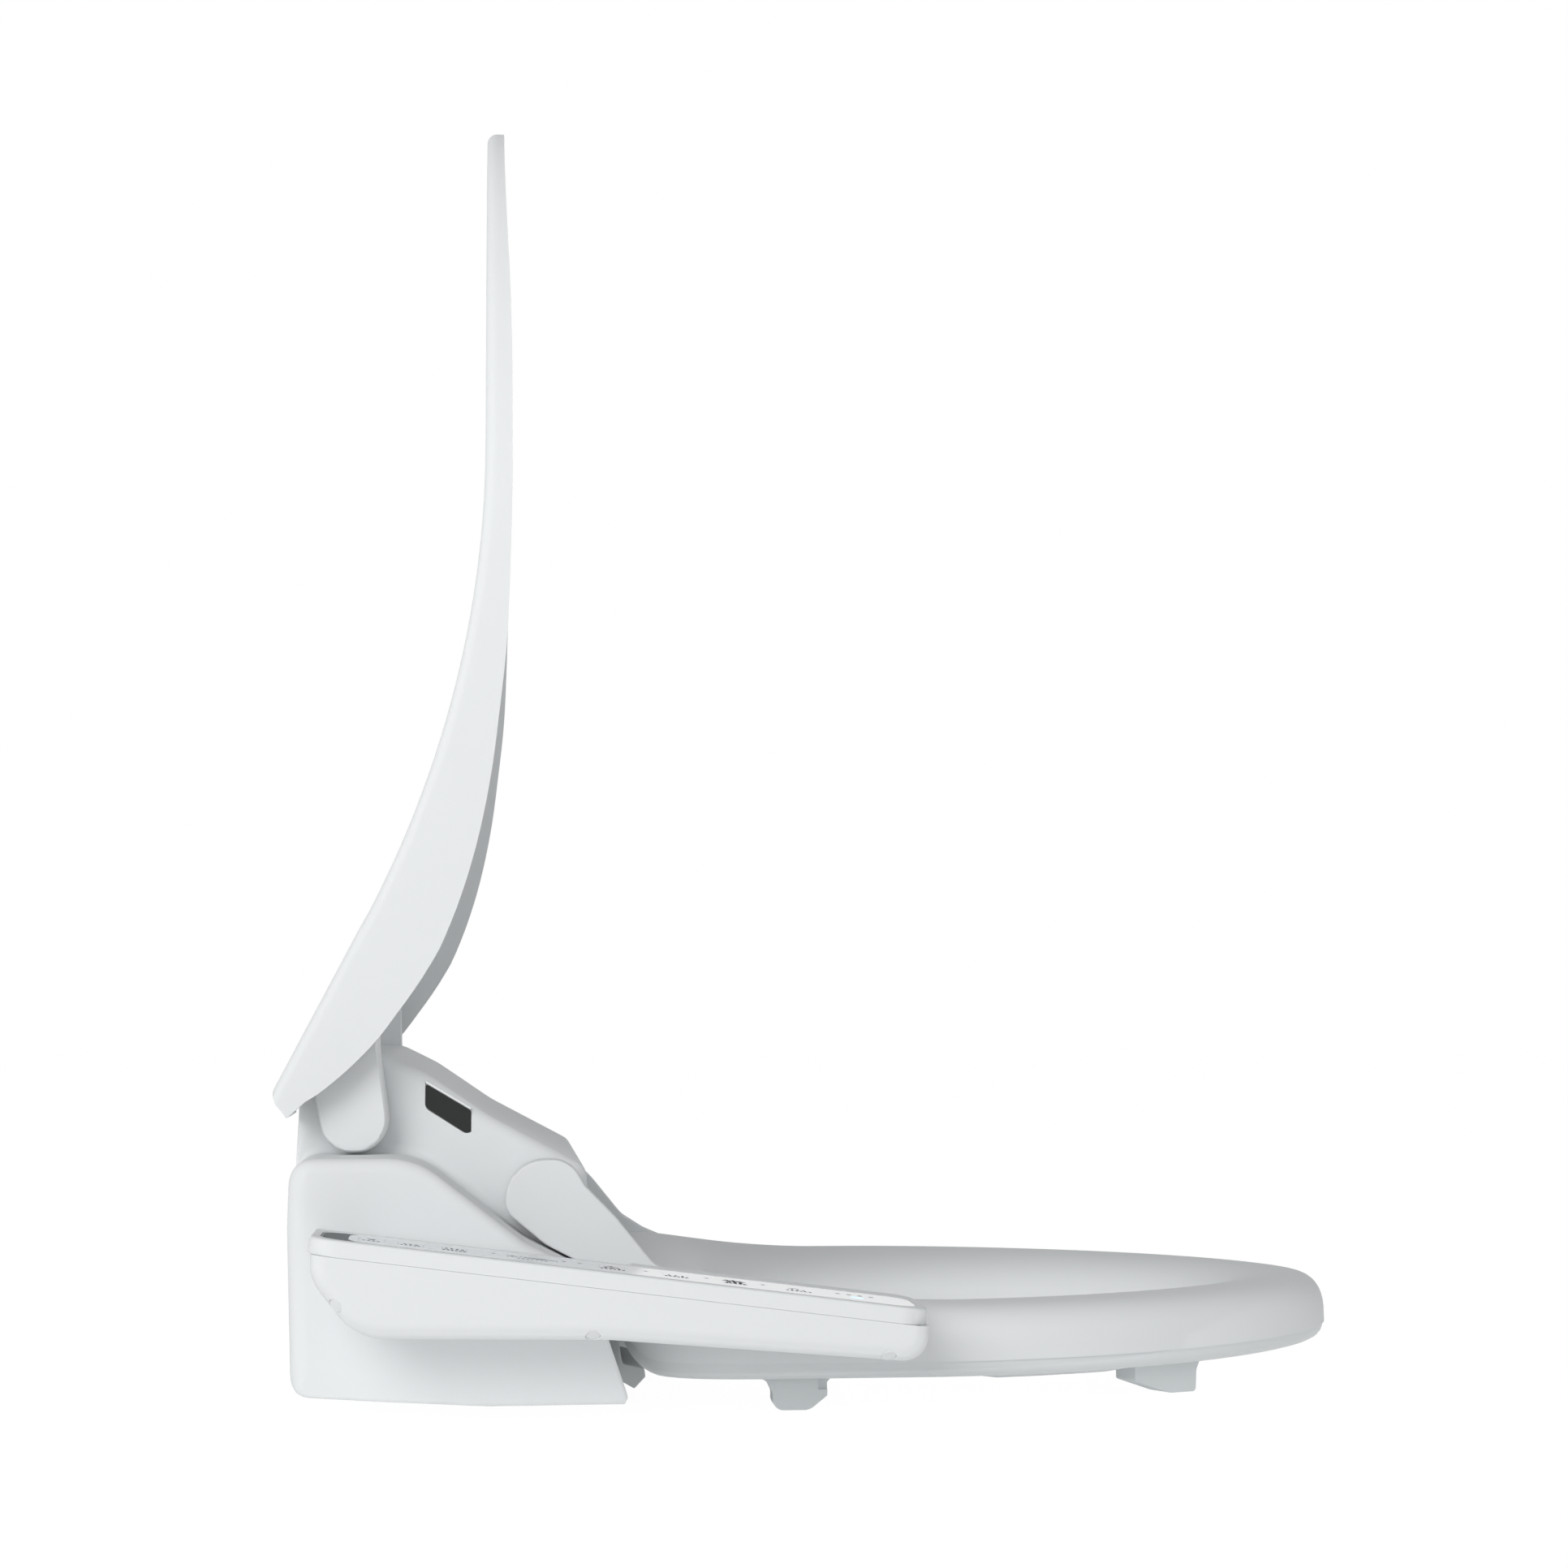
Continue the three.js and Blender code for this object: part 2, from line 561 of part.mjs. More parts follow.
add('lid_shell', lid, finish.gloss);

// ---- Seat ring ----
const ringSteps = 64;            // facets round the ring
const crownSteps = 6;            // and over its crown
const superRadius = (a, half, reach, power) => 1 / (
  (Math.abs(Math.cos(a)) / half) ** power + (Math.abs(Math.sin(a)) / reach) ** power) ** (1 / power);
const outerRadius = (a) => (Math.sin(a) >= 0
  ? superRadius(a, seatHalf, seatTip - seatWidest, frontPower)
  : superRadius(a, seatHalf, seatWidest - seatRear, rearPower));
const innerRadius = (a) => (Math.sin(a) >= 0
  ? superRadius(a, seatHalf - ringWidthSide, seatTip - ringWidthFront - seatWidest, holeFrontPower)
  : superRadius(a, seatHalf - ringWidthSide, seatWidest - seatRear - ringWidthRear, holeRearPower));
const ringWidth = (a) => outerRadius(a) - innerRadius(a);
// The point at angle a around the ring, o inside its outer edge
const ringPoint = (a, o) => {
  const radius = outerRadius(a) - o;
  return [radius * Math.cos(a), seatWidest + radius * Math.sin(a)];
};
const crestHeight = (f) => seatCrest + rearRise * (Math.max(0, rearRiseStart - f) / 120) ** 1.8;

// Carries section(a), a closed list of [o, z], round the ring, or from angle a0 to a1 with closed ends
function ringLoft(section, steps, a0 = 0, a1 = 2 * Math.PI) {
  const whole = a1 - a0 > 2 * Math.PI - 1e-6;
  const rings = whole ? steps : steps + 1;
  const vertices = [];
  const index = [];
  let size = 0;
  for (let i = 0; i < rings; i += 1) {
    const a = a0 + ((a1 - a0) * i) / steps;
    const points = section(a);
    size = points.length;
    for (const [o, z] of points) {
      const [x, f] = ringPoint(a, o);
      vertices.push(x, -f, z);
    }
  }
  for (let i = 0; i < steps; i += 1) {
    const next = ((i + 1) % rings) * size;
    for (let j = 0; j < size; j += 1) {
      const k = (j + 1) % size;
      index.push(i * size + j, next + j, next + k, i * size + j, next + k, i * size + k);
    }
  }
  if (!whole) {
    const flat = section(a0).map(([o, z]) => new THREE.Vector2(o, z));
    const last = (rings - 1) * size;
    const sign = Math.sign(THREE.ShapeUtils.area(flat));
    for (const face of THREE.ShapeUtils.triangulateShape(flat, [])) {
      const turned = Math.sign(THREE.ShapeUtils.area(face.map((i) => flat[i]))) !== sign;
      const [p, q, r] = turned ? face.toReversed() : face;
      index.push(p, q, r, last + p, last + r, last + q);
    }
  }
  const geometry = new THREE.BufferGeometry();
  geometry.setAttribute('position', new THREE.Float32BufferAttribute(vertices, 3));
  geometry.setIndex(index);
  const made = solid(geometry);
  if (made.volume() > 0) return made;
  for (let i = 0; i < index.length; i += 3) [index[i], index[i + 1]] = [index[i + 1], index[i]];
  const turned = new THREE.BufferGeometry();
  turned.setAttribute('position', new THREE.Float32BufferAttribute(vertices, 3));
  turned.setIndex(index);
  return solid(turned);
}

// The crown of the ring at angle a, d inside its skin, between two of its steps; the first is at the
// outer edge and the last at the hole
function crown(a, d, first, last, foot) {
  const width = ringWidth(a);
  const crest = crestHeight(ringPoint(a, crestInset)[1]);
  const points = [];
  for (let i = first; i <= last; i += 1) {
    const t = (Math.PI * i) / crownSteps;
    const outward = Math.cos(t) > 0;
    const reach = outward ? crestInset - d : width - crestInset - d;
    const across = outward ? Math.cos(t) ** 0.8 : -(Math.abs(Math.cos(t)) ** 0.9);
    const up = outward ? Math.sin(t) ** 0.8 : Math.sin(t) ** 0.9;
    points.push([crestInset - across * reach, foot + (crest - d - foot) * up]);
  }
  return points;
}
const shellFoot = seatJoint + gap / 2;
const topSection = (a) => [
  ...crown(a, 0, 0, crownSteps, shellFoot), ...crown(a, seatWall, 0, crownSteps, shellFoot).reverse()];
const bottomSection = (a) => {
  const width = ringWidth(a);
  const top = seatJoint - gap / 2;
  const inner = seatUnderside + seatWall;
  return [
    [0.3, top], [2.5, 18.5], [8, seatUnderside], [width - 6, seatUnderside], [width - 0.3, top],
    [width - 3.3, top], [width - 8, inner], [10, inner], [3.3, top]];
};
let seatTop = ringLoft(topSection, ringSteps);
const armFoot = shellFoot + 1;
const seatArmShape = outline([
  ...arcPoints(seatPivot, seatArmRadius, rad(30), rad(245)), [87.5, 61.7, 4], [95, 38, 3], [98, armFoot],
  [126, armFoot], [128, 52], [112, 63, 14], [88, 87, 4], [71, 102]]);
for (const [, sign] of sides) {
  const arm = acrossX(seatArmShape, hingeArmInner, hingeArmOuter);
  seatTop = seatTop.add(onSide(sign, arm)).subtract(armBore(seatPivot, sign));
}
add('seat_top_shell', seatTop, finish.gloss);
add('seat_bottom_shell', ringLoft(bottomSection, ringSteps), finish.satin);

const foilBehind = 4;            // steps of the ring behind its widest point, each side
const foilSkin = seatWall + gap;
const foilSection = (a) => [
  ...crown(a, foilSkin, 2, crownSteps - 1, shellFoot),
  ...crown(a, foilSkin + heaterThickness, 2, crownSteps - 1, shellFoot).reverse()];
const foilAngle = (-2 * Math.PI * foilBehind) / ringSteps;
const foil = ringLoft(foilSection, ringSteps / 2 + 2 * foilBehind, foilAngle, Math.PI - foilAngle);
add('seat_heater', foil, finish.foil);

// Rubber feet under the ring: a pair beside the hole and a pair towards the front, along the ring
const footTop = seatUnderside - gap;
function foot(x, f, length, width, turn) {
  const plan = (d) => planBox(-width / 2 - d, width / 2 + d, -length / 2 - d, length / 2 + d, 5 + d / 2);
  const flange = upright(plan(2), footTop - 3, footTop);
  return upright(plan(0), 0, footTop).add(flange).rotate([0, 0, turn]).translate([x, -f, 0]);
}
const sideFoot = foot(163, 172, 28, 14, 0);
const frontFoot = foot(123, 353, 40, 14, -29);
for (const [word, sign] of sides) {
  add(`seat_foot_side_${word}`, onSide(sign, sideFoot), finish.rubber);
  add(`seat_foot_front_${word}`, onSide(sign, frontFoot), finish.rubber);
}

// Lid bumpers: drawn where they meet the closed lid and the seat, then swung open with the lid
const bumperPlace = [66, 422];
const lidDown = (body) => body.translate([0, lidPivot[0], -lidPivot[1]])
  .rotate([-lidSwing, 0, 0]).translate([0, -lidPivot[0], lidPivot[1]]);
const bumper = lidDown(barZ(6, seatCrest + 1.2, seatCrest + 40, bumperPlace[0], bumperPlace[1], 16))
  .intersect(acrossX(lidHollowShape(), -lidHalf, lidHalf)
    .translate([0, -gap, 0]));
for (const [word, sign] of sides) add(`lid_bumper_${word}`, onSide(sign, bumper), finish.rubber);

// ---- Wash nozzles: drawn level with their tips at the origin, then tilted into place ----
const tilt = (body) => body.rotate([nozzlePitch, 0, 0]).translate([0, -nozzleTip[0], nozzleTip[1]]);
const toothPitch = Math.PI * gearModule;
const pitchRadius = (gearModule * pinionTeeth) / 2;
const rackLine = -(nozzleRadius + rackDepth);
const pinionPlace = [-pinionBehindTip, rackLine - pitchRadius];
const addendum = 0.9 * gearModule;
const dedendum = 1.1 * gearModule;
const tipHalf = 0.27 * gearModule;
const rootHalf = gearModule;
const pinionRootHalf = 0.8 * gearModule;

// Rack teeth point down; a gap of the rack lies over the pinion's centre at rest
function rack() {
  const teeth = Math.ceil((nozzleTravel + toothPitch) / toothPitch);
  const first = pinionPlace[0] + toothPitch / 2;
  const points = [[first + toothPitch * 0.5, -nozzleRadius + 1]];
  for (let i = 0; i < teeth; i += 1) {
    const middle = first - i * toothPitch;
    points.push([middle + rootHalf, rackLine + dedendum], [middle + tipHalf, rackLine - addendum]);
    points.push([middle - tipHalf, rackLine - addendum], [middle - rootHalf, rackLine + dedendum]);
  }
  points.push([first - (teeth - 0.5) * toothPitch, -nozzleRadius + 1]);
  points.splice(1, 0, [points[0][0], rackLine + dedendum]);
  points.splice(points.length - 1, 0, [points.at(-1)[0], rackLine + dedendum]);
  return outline(points);
}
function pinionShape() {
  const points = [];
  for (let i = 0; i < pinionTeeth; i += 1) {
    const a = -Math.PI / 2 + (2 * Math.PI * i) / pinionTeeth;
    const [root, tip] = [pitchRadius - dedendum, pitchRadius + addendum];
    const corners = [[root, -pinionRootHalf], [tip, -tipHalf], [tip, tipHalf], [root, pinionRootHalf]];
    for (const [radius, half] of corners) {
      points.push([
        pinionPlace[0] + radius * Math.cos(a) - half * Math.sin(a),
        pinionPlace[1] + radius * Math.sin(a) + half * Math.cos(a)]);
    }
  }
  return outline(points);
}
const channelHalf = nozzleRadius + nozzlePlay;
const guideHalf = nozzleSpacing / 2 + channelHalf + guideWall;
const guideRear = -nozzleLength + 2;
let guide = block(-guideHalf, guideHalf, guideRear, -8, -3, channelHalf + guideWall);
const motorInner = guideHalf + gap;
for (const [word, sign] of [['wash', -1], ['bidet', 1]]) {
  const x = (sign * nozzleSpacing) / 2;
  guide = guide.subtract(block(x - channelHalf, x + channelHalf, guideRear - 1, 0, -4, channelHalf));
  const stem = barY(nozzleRadius, -nozzleLength, -6, x, 0, 16).add(barY(nozzleRadius - 0.7, -7, 0, x, 0, 16));
  const nozzle = stem.add(acrossX(rack(), x - rackWidth / 2, x + rackWidth / 2));
  add(`${word}_nozzle`, tilt(nozzle), finish.satin);
  const shaft = onSide(sign, barX(motorShaft, nozzleSpacing / 2, motorInner + 6, pinionPlace, 12));
  const pinion = acrossX(pinionShape(), x - rackWidth / 2, x + rackWidth / 2).add(shaft);
  add(`${word}_pinion`, tilt(pinion), finish.overlay);
  const motor = barX(motorRadius, motorInner, motorInner + motorLength, pinionPlace)
    .subtract(barX(motorShaft + gap, 0, motorInner + 6 + gap, pinionPlace, 12));
  add(`${word}_motor`, tilt(onSide(sign, motor)), finish.steel);
}
const ribHalf = nozzleSpacing / 2 - channelHalf;
guide = guide.subtract(block(-ribHalf, ribHalf, guideRear - 1, 0, -4, -2));
guide = tilt(guide);
// Side plates carry the motors and stand on the tray
const alongAxis = (s) => nozzleTip[0] + s * Math.cos(rad(nozzlePitch));
const axisHeight = (f) => nozzleTip[1] + (nozzleTip[0] - f) * Math.tan(rad(nozzlePitch));
const plateShape = (s0, s1) => outline([
  [alongAxis(s0), floorTop + gap], [alongAxis(s1), floorTop + gap],
  [alongAxis(s1), axisHeight(alongAxis(s1))], [alongAxis(s0), axisHeight(alongAxis(s0))]]);
for (const [, sign] of sides) {
  for (const [s0, s1] of [[-62, -36], [-142, -128]]) {
    guide = guide.add(onSide(sign, acrossX(plateShape(s0, s1), guideHalf - guideWall, guideHalf)));
  }
  guide = guide.subtract(tilt(onSide(sign, barX(motorShaft + gap, 0, motorInner, pinionPlace, 12))));
}
add('nozzle_guide', guide, finish.grey);

// ---- Warm air: scroll with its duct, impeller and motor ----
const scrollRadius = fanRadius + ductWall;
const ductShape = outline([[16, 52], [70, 15.3], [83.4, 15.3], [82.6, 25], [34, 66]]);
const ductHollow = outline([[18.5, 53.5], [71.6, 14], [81.8, 14], [81, 24.3], [33, 63.6]]);
const scroll = barX(scrollRadius, fanInner, fanOuter, fanCentre, 36)
  .add(acrossX(ductShape, fanInner, fanOuter))
  .subtract(barX(fanRadius, fanInner + ductWall, fanOuter - ductWall, fanCentre, 36))
  .subtract(acrossX(ductHollow, ...airSides))
  .subtract(barX(14, fanInner - 1, fanInner + 5, fanCentre))
  .subtract(barX(motorShaft + gap, fanInner, fanOuter + 1, fanCentre, 12))
  .add(block(fanInner + 6, fanOuter - 6, -4, 4, floorTop + gap, fanCentre[1] - fanRadius - 0.5));
add('dryer_scroll', scroll, finish.black);

const bladeSides = [fanInner + ductWall + 2, fanOuter - ductWall - 3];
let impeller = barX(impellerRadius, bladeSides[1] - 1.5, bladeSides[1], fanCentre, 28)
  .add(barX(5, bladeSides[0] + 6, bladeSides[1], fanCentre, 16))
  .add(barX(motorShaft, bladeSides[1] - 1, fanOuter + 8, fanCentre, 12));
for (let i = 0; i < impellerBlades; i += 1) {
  const blade = block(...bladeSides, -0.5, 0.5, impellerRadius - 8, impellerRadius - 0.2)
    .rotate([(360 * i) / impellerBlades, 0, 0]).translate([0, -fanCentre[0], fanCentre[1]]);
  impeller = impeller.add(blade);
}
add('dryer_impeller', impeller, finish.grey);
const fanMotor = barX(14, fanOuter + gap, fanOuter + 18, fanCentre)
  .subtract(barX(motorShaft + gap, fanOuter, fanOuter + 8 + gap, fanCentre, 12));
add('dryer_motor', fanMotor, finish.steel);

// ---- Water: tank and heater, inlet, inlet valve and flow valve ----
const tankPort = [-10, 34];
const heaterPlug = 10;
const tankBox = (d) => block(
  tankSides[0] + d, tankSides[1] - d, tankEnds[0] + d, tankEnds[1] - d, floorTop + gap + d, tankTop - d);
const tank = tankBox(0).subtract(tankBox(tankWall))
  .subtract(barX(heaterPlug, tankSides[1] - 5, tankSides[1] + 1, tankPort));
add('water_tank', tank, finish.clear);
const heater = barX(15, tankSides[1] + gap, tankSides[1] + 4, tankPort)
  .add(barX(heaterPlug - gap, tankSides[1] - tankWall, tankSides[1] + 1, tankPort))
  .add(barX(4, tankSides[1] - 54, tankSides[1], tankPort, 16));
add('tank_heater', heater, finish.steel);

const valveSides = [casingHalf - 50, casingHalf - 14];
const valve = block(...valveSides, inletPlace[0] - 13, inletPlace[0] + 13, floorTop + gap, inletPlace[1] + 14)
  .add(barZ(10, inletPlace[1] + 13, inletPlace[1] + 34, (valveSides[0] + valveSides[1]) / 2, inletPlace[0]));
add('inlet_valve', valve, finish.black);
const inlet = barX(inletRadius, valveSides[1] + 3, inletX, inletPlace)
  .add(barX(inletRadius + 3, valveSides[1] + gap, casingHalf - wall - 2 * gap, inletPlace, 6))
  .subtract(barX(6, valveSides[1] + 8, inletX + 1, inletPlace, 16));
add('water_inlet', inlet, finish.brass);
const flowValve = block(-62, -34, -12, 26, floorTop + gap, 40).add(barZ(9, 39, 54, -48, 8));
add('flow_valve', flowValve, finish.black);

// ---- Electronics ----
const boardFace = -44;
add('main_board', block(24, 134, boardFace - boardThickness, boardFace, floorTop + gap, 100), finish.board);
add('power_module', block(28, 58, boardFace + gap, boardFace + 14, 56, 88), finish.black);
const glandProfile = [
  [0, -16], [5, -16], [6, -3], [glandRadius, 0], [glandRadius, 8.5], [glandRadius + 3, 8.5],
  [glandRadius + 3, 11], [0, 11]];
const glandLathe = new THREE.LatheGeometry(glandProfile.map(([r, y]) => new THREE.Vector2(r, y)), 24);
glandLathe.rotateZ(Math.PI);
glandLathe.translate(glandPlace[0], -(casingRear - 2), glandPlace[1]);
add('power_gland', solid(glandLathe), finish.black);

// ---- Deodoriser cartridge and release button ----
const slideBlock = (ends, top, depth) => block(casingHalf - depth, casingHalf, ...ends, cartridgeBottom, top);
const grille = block(casingHalf - 1.5, casingHalf + 1, cartridgeEnds[0] + 5, cartridgeEnds[1] - 5, 20, 22);
let cartridge = slideBlock(cartridgeEnds, cartridgeTop, cartridgeDepth);
for (const lift of [0, 5, 10]) cartridge = cartridge.subtract(grille.translate([0, 0, lift - 1]));
add('deodorizer_cartridge', cartridge, finish.satin);
add('release_button', slideBlock(buttonEnds, buttonTop, 12).translate([0.4, 0, 0]), finish.grey);

export default object;
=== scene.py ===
import json
import math

import bmesh
import bpy
from mathutils import Matrix, Vector

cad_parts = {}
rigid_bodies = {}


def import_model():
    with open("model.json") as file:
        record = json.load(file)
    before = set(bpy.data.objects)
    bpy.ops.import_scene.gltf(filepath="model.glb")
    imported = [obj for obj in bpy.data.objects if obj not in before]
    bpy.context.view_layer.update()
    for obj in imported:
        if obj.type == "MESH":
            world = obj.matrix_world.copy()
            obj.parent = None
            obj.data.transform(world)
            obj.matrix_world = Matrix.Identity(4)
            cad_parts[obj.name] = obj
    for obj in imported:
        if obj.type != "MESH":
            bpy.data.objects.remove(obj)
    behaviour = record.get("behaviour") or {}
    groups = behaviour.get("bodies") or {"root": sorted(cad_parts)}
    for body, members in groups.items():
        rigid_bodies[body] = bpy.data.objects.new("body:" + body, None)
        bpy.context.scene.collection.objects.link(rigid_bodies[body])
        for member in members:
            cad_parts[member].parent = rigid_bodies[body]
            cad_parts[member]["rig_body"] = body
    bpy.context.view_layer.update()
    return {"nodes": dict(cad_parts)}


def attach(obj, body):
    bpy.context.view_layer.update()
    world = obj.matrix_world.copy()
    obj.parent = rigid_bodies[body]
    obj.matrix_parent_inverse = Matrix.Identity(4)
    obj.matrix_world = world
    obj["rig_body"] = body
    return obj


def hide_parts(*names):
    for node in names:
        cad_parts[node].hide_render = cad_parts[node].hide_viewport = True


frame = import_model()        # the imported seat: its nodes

# Shapes are drawn in millimetres. Side outlines are (f, z), where f is how far a point lies in front of
# the bolt line, so y = -f. The control arm is on the -X side.
metres = 0.001
touching = 0.001        # points nearer than this are on the same plane
merge = 0.003           # points of a finished piece nearer than this become one


# Camera, light and floor

shot = {
    "place": (-1531.7, -29.3, 182.7), "yaw": 0.0990, "pitch": 0.0790, "lens": 66.9, "sensor": 36,
    "clip": (0.01, 60),
}


def linked(name, data):
    made = bpy.data.objects.new(name, data)
    bpy.context.scene.collection.objects.link(made)
    return made


def makeCamera():
    camera = bpy.data.cameras.new("camera")
    camera.lens, camera.sensor_width = shot["lens"], shot["sensor"]
    camera.clip_start, camera.clip_end = shot["clip"]
    holder = linked("camera", camera)
    yaw, pitch = shot["yaw"], shot["pitch"]
    ahead = Vector((math.cos(yaw) * math.cos(pitch), -math.sin(yaw) * math.cos(pitch), math.sin(pitch)))
    holder.location = Vector(shot["place"]) * metres
    holder.rotation_euler = ahead.to_track_quat("-Z", "Y").to_euler()
    bpy.context.scene.camera = holder


class Wire:
    # a node's output, so that sums of shader values read as plain Python
    def __init__(self, tree, socket):
        self.tree, self.socket = tree, socket

    def maths(self, operation, first, second):
        return self.tree.node("ShaderNodeMath", {"operation": operation}, {0: first, 1: second})

    def __add__(self, other):
        return self.maths("ADD", self, other)

    def __sub__(self, other):
        return self.maths("SUBTRACT", self, other)

    def __rsub__(self, other):
        return self.maths("SUBTRACT", other, self)

    def __mul__(self, other):
        return self.maths("MULTIPLY", self, other)

    def __lt__(self, other):
        return self.maths("LESS_THAN", self, other)

    __radd__ = __add__
    __rmul__ = __mul__


class Tree:
    def __init__(self, owner):
        owner.use_nodes = True
        self.nodes, self.links = owner.node_tree.nodes, owner.node_tree.links
        self.nodes.clear()

    # any node: its settings first, then the numbers or wires of its sockets
    def node(self, kind, settings=None, values=None, output=0):
        node = self.nodes.new(kind)
        for key, value in (settings or {}).items():
            setattr(node, key, value)
        for key, value in (values or {}).items():
            if isinstance(value, Wire):
                self.links.new(value.socket, node.inputs[key])
            else:
                node.inputs[key].default_value = value
        return Wire(self, node.outputs[output]) if len(node.outputs) else node


def seenDirectly(tree):        # 1 for what the camera, a reflection or a clear part sees
    camera, glossy, clear = (tree.node("ShaderNodeLightPath", output=f"Is {ray} Ray")
                             for ray in ("Camera", "Glossy", "Transmission"))
    return tree.node("ShaderNodeMath", {"operation": "MINIMUM"}, {0: camera + glossy + clear, 1: 1})


studio = {
    "above": 0.27, "level": 0.97,        # light from the sky, overhead and near the horizon
    "skyTop": 0.7,                       # overhead is all above this share of the way up
    "sky": (0.98, 0.99, 1, 1), "white": (1, 1, 1, 1),
    "lamps": {"key": {"from": (-0.80, 0.44, 0.41), "distance": 3.2, "size": 1.9, "power": 43},
              "fill": {"from": (-0.82, -0.12, -0.56), "distance": 3.4, "size": 2.6, "power": 28}},
    "aim": (0, -0.15, 0.2),
    "floor": 14, "floorColour": (0.93, 0.93, 0.93, 1), "floorWhite": 0.9, "floorGlow": 1.07,
}


def makeLight():
    world = bpy.data.worlds.new("studio")
    bpy.context.scene.world = world
    tree = Tree(world)
    way = tree.node("ShaderNodeTexCoord", output="Generated")
    up = tree.node("ShaderNodeSeparateXYZ", {}, {"Vector": way}, "Z")
    overhead = tree.node("ShaderNodeMapRange", {}, {"Value": up, "From Min": 0, "From Max": studio["skyTop"]})
    level, above, white = (tree.node("ShaderNodeBackground", {}, {"Color": colour, "Strength": strength})
                           for colour, strength in ((studio["sky"], studio["level"]),
                                                    (studio["sky"], studio["above"]), (studio["white"], 1)))
    soft = tree.node("ShaderNodeMixShader", {}, {0: overhead, 1: level, 2: above})
    mixed = tree.node("ShaderNodeMixShader", {}, {0: seenDirectly(tree), 1: soft, 2: white})
    tree.node("ShaderNodeOutputWorld", {}, {"Surface": mixed})
    for name, softbox in studio["lamps"].items():
        lamp = bpy.data.lights.new(name, "AREA")
        lamp.shape, lamp.size, lamp.energy = "DISK", softbox["size"], softbox["power"]
        holder = linked(name, lamp)
        towards = Vector(softbox["from"]).normalized()
        holder.location = Vector(studio["aim"]) + towards * softbox["distance"]
        holder.rotation_euler = (-towards).to_track_quat("-Z", "Y").to_euler()


def makeFloor():
    bm = bmesh.new()
    bmesh.ops.create_grid(bm, x_segments=1, y_segments=1, size=studio["floor"])
    mesh = bpy.data.meshes.new("floor")
    bm.to_mesh(mesh)
    bm.free()
    floor = linked("floor", mesh)
    paper = bpy.data.materials.new("floorPaper")
    tree = Tree(paper)
    matt = tree.node("ShaderNodeBsdfDiffuse", {}, {"Color": studio["floorColour"]})
    bright = tree.node("ShaderNodeEmission", {}, {"Color": studio["white"], "Strength": studio["floorGlow"]})
    shown = seenDirectly(tree) * studio["floorWhite"]
    whole = tree.node("ShaderNodeMixShader", {}, {0: shown, 1: matt, 2: bright})
    tree.node("ShaderNodeOutputMaterial", {}, {"Surface": whole})
    mesh.materials.append(paper)
    floor.visible_shadow = False        # the fill comes up through it


bpy.context.scene.view_settings.view_transform = "Standard"
makeCamera()
makeLight()
makeFloor()
print("camera, light and floor made")


# Finishes

def mix(tree, amount, first, second):        # between two colours
    return tree.node("ShaderNodeMix", {"data_type": "RGBA"}, {0: amount, 6: first, 7: second}, 2)


def noise(tree, place, scale, detail=2, stretch=(1, 1, 1)):
    if stretch != (1, 1, 1):
        place = tree.node("ShaderNodeMapping", {}, {"Vector": place, "Scale": stretch})
    return tree.node("ShaderNodeTexNoise", {}, {"Vector": place, "Scale": scale, "Detail": detail})


def tint(colour, factor):
    return tuple(min(1, c * factor) for c in colour[:3]) + (1,)


def startFinish(name):
    material = bpy.data.materials.new(name)
    tree = Tree(material)
    return material, tree, tree.node("ShaderNodeTexCoord", output="Object")


def shaded(material, tree, sockets):
    shader = tree.node("ShaderNodeBsdfPrincipled", {}, sockets)
    tree.node("ShaderNodeOutputMaterial", {}, {"Surface": shader})
    return material


def bumped(tree, strength, distance, height):
    return tree.node("ShaderNodeBump", {}, {"Strength": strength, "Distance": distance, "Height": height})


# Moulded plastic: a faint cloud in the colour, wiping marks in the gloss and the skin of the mould
def mouldedPlastic(name, colour, roughness, skin=0.02, grain=700, cloud=0.03, shine=0.2):
    material, tree, place = startFinish(name)
    clouds = noise(tree, place, 7, 3)
    marks = noise(tree, place, 45, 4)
    peel = noise(tree, place, grain, 3)
    base = mix(tree, clouds, tint(colour, 1 - cloud), tint(colour, 1 + cloud))
    rough = roughness * 0.9 + marks * roughness * 0.2
    bump = bumped(tree, skin, 0.0001, peel)
    return shaded(material, tree, {
        "Base Color": base, "Roughness": rough, "Normal": bump, "Specular IOR Level": shine})


# Machined or drawn metal, with fine lines along one axis
def brushedMetal(name, colour, roughness, along):
    material, tree, place = startFinish(name)
    lines = noise(tree, place, 260, 3, along)
    stain = noise(tree, place, 30, 2)
    base = mix(tree, stain * 0.5 + lines * 0.3, tint(colour, 0.8), tint(colour, 1.1))
    bump = bumped(tree, 0.08, 0.0002, lines)
    rough = roughness * 0.7 + lines * roughness * 0.6
    return shaded(material, tree, {"Base Color": base, "Roughness": rough, "Normal": bump, "Metallic": 1})


# Green board with lighter tracks between rows of small pads
def circuitBoard(name):
    material, tree, place = startFinish(name)
    blocks = tree.node("ShaderNodeTexBrick", {}, {
        "Vector": place, "Scale": 90, "Mortar Size": 0.06, "Color1": (0.02, 0.13, 0.05, 1),
        "Color2": (0.03, 0.17, 0.07, 1), "Mortar": (0.08, 0.3, 0.13, 1)})
    dots = tree.node("ShaderNodeTexVoronoi", {}, {"Vector": place, "Scale": 300})
    pads = dots < 0.22
    base = mix(tree, pads, blocks, (0.6, 0.6, 0.55, 1))
    bump = bumped(tree, 0.3, 0.0003, pads)
    return shaded(material, tree, {
        "Base Color": base, "Roughness": 0.45 - pads * 0.15, "Metallic": pads * 0.9, "Normal": bump})


